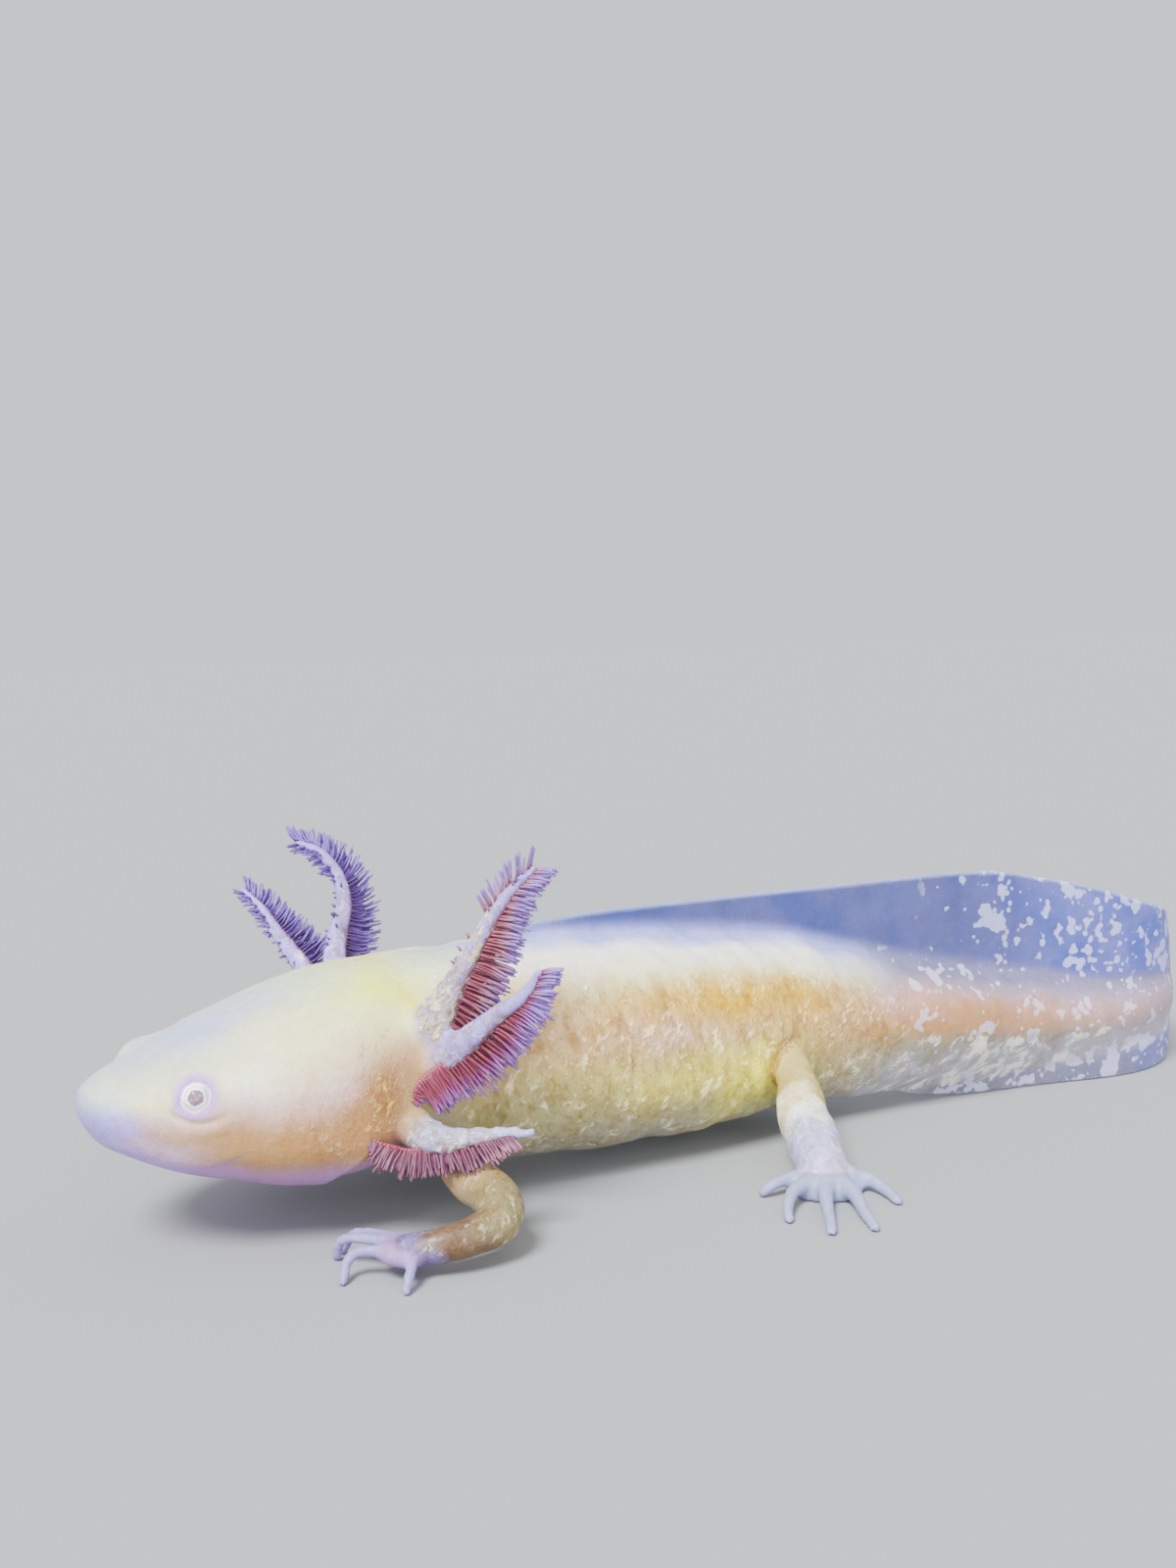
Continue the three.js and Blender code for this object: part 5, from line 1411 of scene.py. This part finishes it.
def paint_grains(mesh, marks, trunk, stalk):
    """Writes the crowd and the colour of the grains on the gills and behind the cheeks."""
    name, share = marks.gill_name, marks.gill_share
    near, lower = name < FIRST_RIGHT_GILL, name == LOWER_GILL
    crowd = np.choose(name, GRAIN_CROWDS) + 0.4 * near * rise(share, 0.45, 0.25)
    behind = 0.8 * bell(marks.s, 21.5, 2.2) * bell(marks.height, 0.5, 0.24)
    set_number(mesh, "gold", np.maximum(np.minimum(crowd, 1.1) * np.minimum(stalk, 1), behind * trunk))
    pale = np.where(lower[:, None], GRAIN_PALE, CREAM)
    grit = lay(pale, GRAIN_GOLD, rise(share, 0.38, 0.28) * lower)
    grit = np.where(near[:, None], grit, STALK_PALE)
    set_colour(mesh, "grit", lay(grit, GRAIN_GOLD, rise(marks.gill, 0.2, 0.8)))


# ---------------------------------------------------------------------------
# Eyes
# ---------------------------------------------------------------------------

PUPIL_EDGE, RING_EDGE = 0.43, 1.2       # angles from the middle of the eye, in radians
PUPIL_DEPTH = 0.07
CORNEA_RISE = 0.07


def eye_frame(side):
    """The eye's middle, where it looks, and two directions across."""
    way = np.append(SPINE.way(EYE_PLACES[side][0]), 0)
    right = np.array([-way[1], way[0], 0])
    look = unit(side * right - 0.42 * way + np.array([0, 0, 0.38]))
    across = unit(np.cross(look, [0, 0, 1]))
    return eye_middle(side), look, across, np.cross(across, look)


def eye_dome(side, polar, reach):
    """Rings round the line of sight, at angles and distances from the eye's middle."""
    middle, look, across, up = eye_frame(side)
    turn = np.linspace(0, 2 * np.pi, reach.shape[1], endpoint=False)
    flat = np.cos(turn)[:, None] * across + np.sin(turn)[:, None] * up
    ring = np.cos(polar)[:, None, None] * look + np.sin(polar)[:, None, None] * flat
    return middle + ring * reach[..., None]


def eyeball(name, side, sides=96, rings=90):
    """An eyeball with a sunken pupil and a ragged, raised white iris."""
    polar = np.linspace(0.01, np.pi - 0.01, rings) ** 1.3 / np.pi**0.3
    turn = np.linspace(0, 2 * np.pi, sides, endpoint=False)
    ragged = 0.02 * np.sin(5 * turn + side) + 0.014 * np.sin(11 * turn + 1.7) + 0.01 * np.sin(23 * turn)
    at = polar[:, None] + ragged
    iris = rise(at, PUPIL_EDGE - 0.03, PUPIL_EDGE + 0.05) * rise(at, RING_EDGE + 0.08, RING_EDGE - 0.04)
    fibres = 0.008 * np.sin(37 * turn + 9 * polar[:, None])
    reach = EYE_RADIUS - 0.035 + iris * (0.03 + fibres) - PUPIL_DEPTH * rise(at, PUPIL_EDGE, 0.2)
    points, quads, fans = loft(eye_dome(side, polar, reach))
    piece = mesh_object(name, points, quads.tolist() + fans.tolist())
    at = at.ravel()
    tint = np.tile(RING, (len(at), 1))
    tint = lay(tint, LILAC, 0.75 * bell(at, PUPIL_EDGE + 0.27, 0.06))
    tint = lay(tint, WHITE_BLUE, 0.7 * rise(at, RING_EDGE - 0.22, RING_EDGE - 0.05))
    tint = lay(tint, PUPIL, rise(at, PUPIL_EDGE + 0.02, PUPIL_EDGE - 0.04))
    tint = lay(tint, PUPIL_RIM, 0.8 * bell(at, PUPIL_EDGE - 0.01, 0.055))
    set_colour(piece.data, "tint", tint)
    return piece


def cornea(name, side, sides=64, rings=24):
    """A clear lens over the pupil and the iris, sunk into the eyeball at its rim."""
    front = np.linspace(0.01, 1.3, rings)
    back = np.linspace(1.25, 0.01, 8)
    polar = np.concatenate([front, back])
    bulge = EYE_RADIUS + CORNEA_RISE * np.cos(front * 1.5)
    reach = np.concatenate([bulge, 0 * back + EYE_RADIUS * 0.8])
    points, quads, fans = loft(eye_dome(side, polar, np.repeat(reach[:, None], sides, 1)))
    return mesh_object(name, points, quads.tolist() + fans.tolist())


# ---------------------------------------------------------------------------
# Gill filaments
# ---------------------------------------------------------------------------

FILAMENT_STEP = 0.26              # spacing along a stalk
FAR_STEP = 0.36                   # and on the right side, where they stand apart
FILAMENT_RADIUS = 0.115
FILAMENT_SIDES = 6
ARCH_RADIUS = 0.35                # how deep a fringe starts in the neck
FILAMENT_ROWS = [-0.7, -0.25, 0.2, 0.65]   # angles round the stalk from the hanging side
BRUSH_COUNT = 26
ROOT_DEPTH = 0.75                 # where a filament starts, as a share of the stalk's radius
WEB_LIGHT = 1.5                   # the web is thinner, so paler, than the filaments
WEB_HALF = 0.3                    # half the web's thickness where the stalk is thick
ROW_SPREAD = 0.16                 # how much of its root's angle a filament's heading keeps
LEAN_SHARES, LEANS = [0.1, 0.5, 0.85, 1.0], [0.25, 0.7, 1.3]   # leans after the root's own
DROOP, FAR_DROOP = 0.12, -0.4     # the right side's filaments turn up instead
DARKEST, PALEST = 0.85, 1.2       # how much lighter or darker single filaments are
LIGHTEST = 0.93                   # no pigment is lighter than this
FLOOR_GAP = 0.3                   # how far the filaments keep from the floor
# A filament's steps from root to tip, and its thickness there.
FILAMENT_STEPS = np.array([0, 0.14, 0.3, 0.46, 0.62, 0.78, 0.92, 1.0])
FILAMENT_TAPER = np.array([1.0, 1.0, 1.0, 1.0, 0.98, 0.96, 0.9, 0.55])
# Colours from root to tip for each gill; the right side's three are painted violet shade.
RAMPS = [
    [(0.0, CRIMSON), (0.45, CRIMSON), (0.7, DUSK_PINK), (1.0, PINK_TIP)],
    [(0.0, CRIMSON), (0.5, CRIMSON), (0.75, MAGENTA), (1.0, PINK_TIP)],
    [(0.0, CRIMSON), (0.4, ROSE), (0.8, ROSE), (1.0, DUSK_PINK)],
] + [[(0.0, FAR_GILL_SHADE_ROOT), (0.3, FAR_GILL_SHADE_ROOT), (0.65, FAR_GILL_SHADE), (1.0, FAR_GILL_SHADE_TIP)]] * 3
PATCH = 0.003                     # size of a filament's place on the map
# Each gill's strip of the map: the first, the next one's offset, its height, and the strips' run.
STRIP, STRIP_STEP, STRIP_HEIGHT, STRIP_START, STRIP_LENGTH = 0.62, 0.06, 0.05, 0.02, 0.94
WEB_GAP = 0.002                   # between a strip and its web's place on the map


def fringe_line(plan):
    """The line on which a gill's filaments stand: any start on the neck, and then the stalk."""
    arch = plan["arch"]
    radii = [ARCH_RADIUS] * len(arch) + plan["radii"][len(arch):]
    return Curve(arch + plan["path"][len(arch):]), radii_along(radii)


def fringe_reach(plan, share):
    """How far a gill's fringe reaches out at a share of its line."""
    start = plan["start"]
    return plan["reach"] * rise(share, start - 0.06, start + 0.14) * (1 - 0.42 * rise(share, 0.5, 1.0))


def fringe_frame(curve, plan, share):
    """Along a fringe: the way, the side on which it hangs, the side across, and the lean."""
    way = curve.way(share * curve.length)
    lie = unit(plan["lie"] - way * (way @ plan["lie"])[:, None])
    lean = np.interp(share, LEAN_SHARES, [plan["lean"], *LEANS])
    return way, lie, np.cross(way, lie), lean[:, None]


def fringe_tint(share, out, ramp):
    """The colour at a share of the stalk and a share of the way out, bluer near the stalk's tip."""
    depth = out * (0.85 + 0.3 * share) + 0.5 * rise(share, 0.55, 0.95)
    return shades(np.clip(depth, 0, 1).ravel(), ramp)


def filament_seeds(plan, length, step, draw):
    """For each filament of a gill: share along the stalk, angle round it, and length."""
    start = plan["start"]
    seeds = []
    for row in FILAMENT_ROWS:
        count = int(length * (1 - start) / step)
        share = np.linspace(start, plan["finish"], count) + draw.normal(0, 0.004, count)
        size = fringe_reach(plan, share) * (1 - 0.12 * abs(row)) * draw.uniform(0.84, 1.08, count)
        seeds.append([share, row + draw.normal(0, 0.08, count), size])
    for middle in (np.pi - 0.5, np.pi + 0.5):
        count = plan["strays"]
        share = draw.uniform(0.35, 0.98, count)
        seeds.append([share, middle + draw.normal(0, 0.3, count), draw.uniform(0.4, 0.85, count)])
    if plan["brush"]:
        share = np.linspace(0.74, 0.99, BRUSH_COUNT) + draw.normal(0, 0.005, BRUSH_COUNT)
        size = plan["brush"] * draw.uniform(0.8, 1.1, BRUSH_COUNT)
        seeds.append([share, np.pi + draw.normal(0, 0.4, BRUSH_COUNT), size])
    share, angle, size = np.concatenate(seeds, 1)
    return np.clip(share, 0, 1), angle, size


def filament_lines(plan, curve, radii, draw):
    """Share and angle of each filament on its stalk, the points along it, and two directions across."""
    far = plan["path"][-1][1] > 0
    share, angle, size = filament_seeds(plan, curve.length, FAR_STEP if far else FILAMENT_STEP, draw)
    way, lie, side, lean = fringe_frame(curve, plan, share)
    out = np.cos(angle)[:, None] * lie + np.sin(angle)[:, None] * side
    root = curve.place(share * curve.length) + out * (radii(share)[0] * ROOT_DEPTH)[:, None]
    # The headings fan from the root of the stalk to its tip, and lie nearly side by side.
    hangs = (np.cos(angle) > 0)[:, None]
    turn = np.where(hangs[:, 0], angle * ROW_SPREAD, angle)
    out = np.cos(turn)[:, None] * lie + np.sin(turn)[:, None] * side
    heading = unit(out + lean * way + draw.normal(0, 0.035, out.shape))
    # Each droops a little along its length, and those of the right side turn up again at the end.
    droop = FAR_DROOP if far else DROOP
    bend = draw.normal(0, 0.05, out.shape) - np.array([0, 0, droop]) * hangs
    heading = heading + np.array([0, 0, min(droop, 0)]) * hangs
    sway = unit(np.cross(heading, draw.normal(0, 1, out.shape)))[:, None]
    heading, bend, run = heading[:, None], bend[:, None], FILAMENT_STEPS[None, :, None]
    path = heading * run + bend * run**2 + 0.035 * sway * np.sin(np.pi * 1.6 * run)
    middle = root[:, None] + size[:, None, None] * path
    along = unit(np.gradient(middle, axis=1))
    u = unit(np.cross(along, sway + 0.3 * heading))
    return share, angle, middle, u, np.cross(along, u)


def gill_fringe(name, order, plan, ramp):
    """All the filaments of one gill, as one mesh of thin tapering tubes."""
    draw = np.random.default_rng(SEED + 100 + order)
    curve, radii = fringe_line(plan)
    share, angle, middle, u, v = filament_lines(plan, curve, radii, draw)
    turn = np.linspace(0, 2 * np.pi, FILAMENT_SIDES, endpoint=False)
    thin = FILAMENT_RADIUS * FILAMENT_TAPER[None, :] * draw.uniform(0.85, 1.15, (len(share), 1))
    flat = np.cos(turn)[:, None] * u[:, :, None] + np.sin(turn)[:, None] * v[:, :, None]
    rings = middle[:, :, None] + thin[..., None, None] * flat
    _, quads, fans = loft(rings[0])
    steps = (np.arange(len(share)) * rings[0, ..., 0].size)[:, None, None]
    faces = (quads + steps).reshape(-1, 4).tolist() + (fans + steps).reshape(-1, 3).tolist()
    points = rings.reshape(-1, 3)
    tone = draw.uniform(DARKEST, PALEST, (len(share), 1, 1, 1))
    tint = fringe_tint(share[:, None], FILAMENT_STEPS[None, :], ramp).reshape(len(share), -1, 1, 3)
    tint = np.clip(tint * tone + np.zeros((1, 1, FILAMENT_SIDES, 1)), 0, LIGHTEST).reshape(-1, 3)
    web, web_faces, web_share, web_out = gill_web(curve, radii, plan)
    web_faces = [[i + len(points) for i in face] for face in web_faces]
    points = np.vstack([points, web])
    points[:, 2] = np.maximum(points[:, 2], FLOOR_GAP)
    piece = mesh_object(name, points, faces + web_faces)
    web_tint = fringe_tint(web_share, web_out, ramp) * WEB_LIGHT
    set_colour(piece.data, "tint", np.vstack([tint, web_tint]))
    u, v = filament_places(order, share, angle)
    web_v = STRIP + STRIP_STEP * order + STRIP_HEIGHT + WEB_GAP + PATCH * web_out
    web_u = STRIP_START + STRIP_LENGTH * web_share
    write_map(piece.data, np.stack([np.append(u, web_u), np.append(v, web_v)], -1))
    return piece


def write_map(mesh, places):
    """Writes each point's place on the map."""
    corners = read_rows(mesh.loops, "vertex_index", 1, np.int32)[:, 0]
    uvs = places[corners].astype(np.float32).ravel()
    mesh.uv_layers.new(name="OFBake").data.foreach_set("uv", uvs)


def gill_web(curve, radii, plan, columns=220, steps=9):
    """The thin blood-red skin between the roots of the filaments, and each point's shares on it."""
    share = np.linspace(plan["start"], plan["finish"] - 0.02, columns)
    way, lie, side, lean = fringe_frame(curve, plan, share)
    place, radius = curve.place(share * curve.length), radii(share)[0]
    share = share[:, None]
    web = np.interp(share, [0.1, 0.5, 1.0], plan["web"])
    size = fringe_reach(plan, share) * web * (1 + 0.05 * np.sin(share * curve.length * 11))
    run = np.concatenate([np.linspace(0, 1, steps), np.linspace(1, 0, steps)])
    half = WEB_HALF * np.sqrt(np.clip(radius, 0, 1))[:, None] * (1 - 0.75 * run)
    half = half * (1 + 0.3 * np.sin(share * curve.length * 22)) * np.repeat([1, -1], steps)
    place = place[:, None] + unit(lie + lean * way)[:, None] * (size * run)[..., None]
    points, quads, fans = loft(place + side[:, None] * half[..., None])
    share, out = (value.ravel() for value in np.broadcast_arrays(share, run * web))
    return points, quads.tolist() + fans.tolist(), share, out


def filament_places(order, share, angle):
    """Each filament's small patch of the map, at its root on an unwrap of the stalk."""
    u = share[:, None, None] * STRIP_LENGTH + STRIP_START + PATCH * FILAMENT_STEPS[None, :, None]
    v = STRIP + STRIP_STEP * order + STRIP_HEIGHT * (angle[:, None, None] / (2 * np.pi) % 1)
    v = v + PATCH * np.arange(FILAMENT_SIDES)[None, None, :] / FILAMENT_SIDES
    return [value.ravel() for value in np.broadcast_arrays(u, v)]


# ---------------------------------------------------------------------------
# The model
# ---------------------------------------------------------------------------

make_camera()
make_stage()

skin, marks = skin_mesh()
paint_skin(skin.data, marks)
skin.data.materials.append(skin_material())
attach(skin, "root")
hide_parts(*[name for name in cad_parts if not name.startswith("eye_")])

ball_paint, film = eye_material(), cornea_material()
for name, side in (("left", LEFT), ("right", RIGHT)):
    ball = eyeball(f"eyeball_{name}", side)
    ball.data.materials.append(ball_paint)
    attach(ball, "root")
    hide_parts(f"eye_{name}")
    lens = cornea(f"cornea_{name}", side)
    lens.data.materials.append(film)
    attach(lens, "root")

fringe_paint = fringe_material()
for order, (name, plan) in enumerate(GILLS.items()):
    fringe = gill_fringe(f"filaments_{name}", order, plan, RAMPS[order])
    fringe.data.materials.append(fringe_paint)
    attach(fringe, "root")
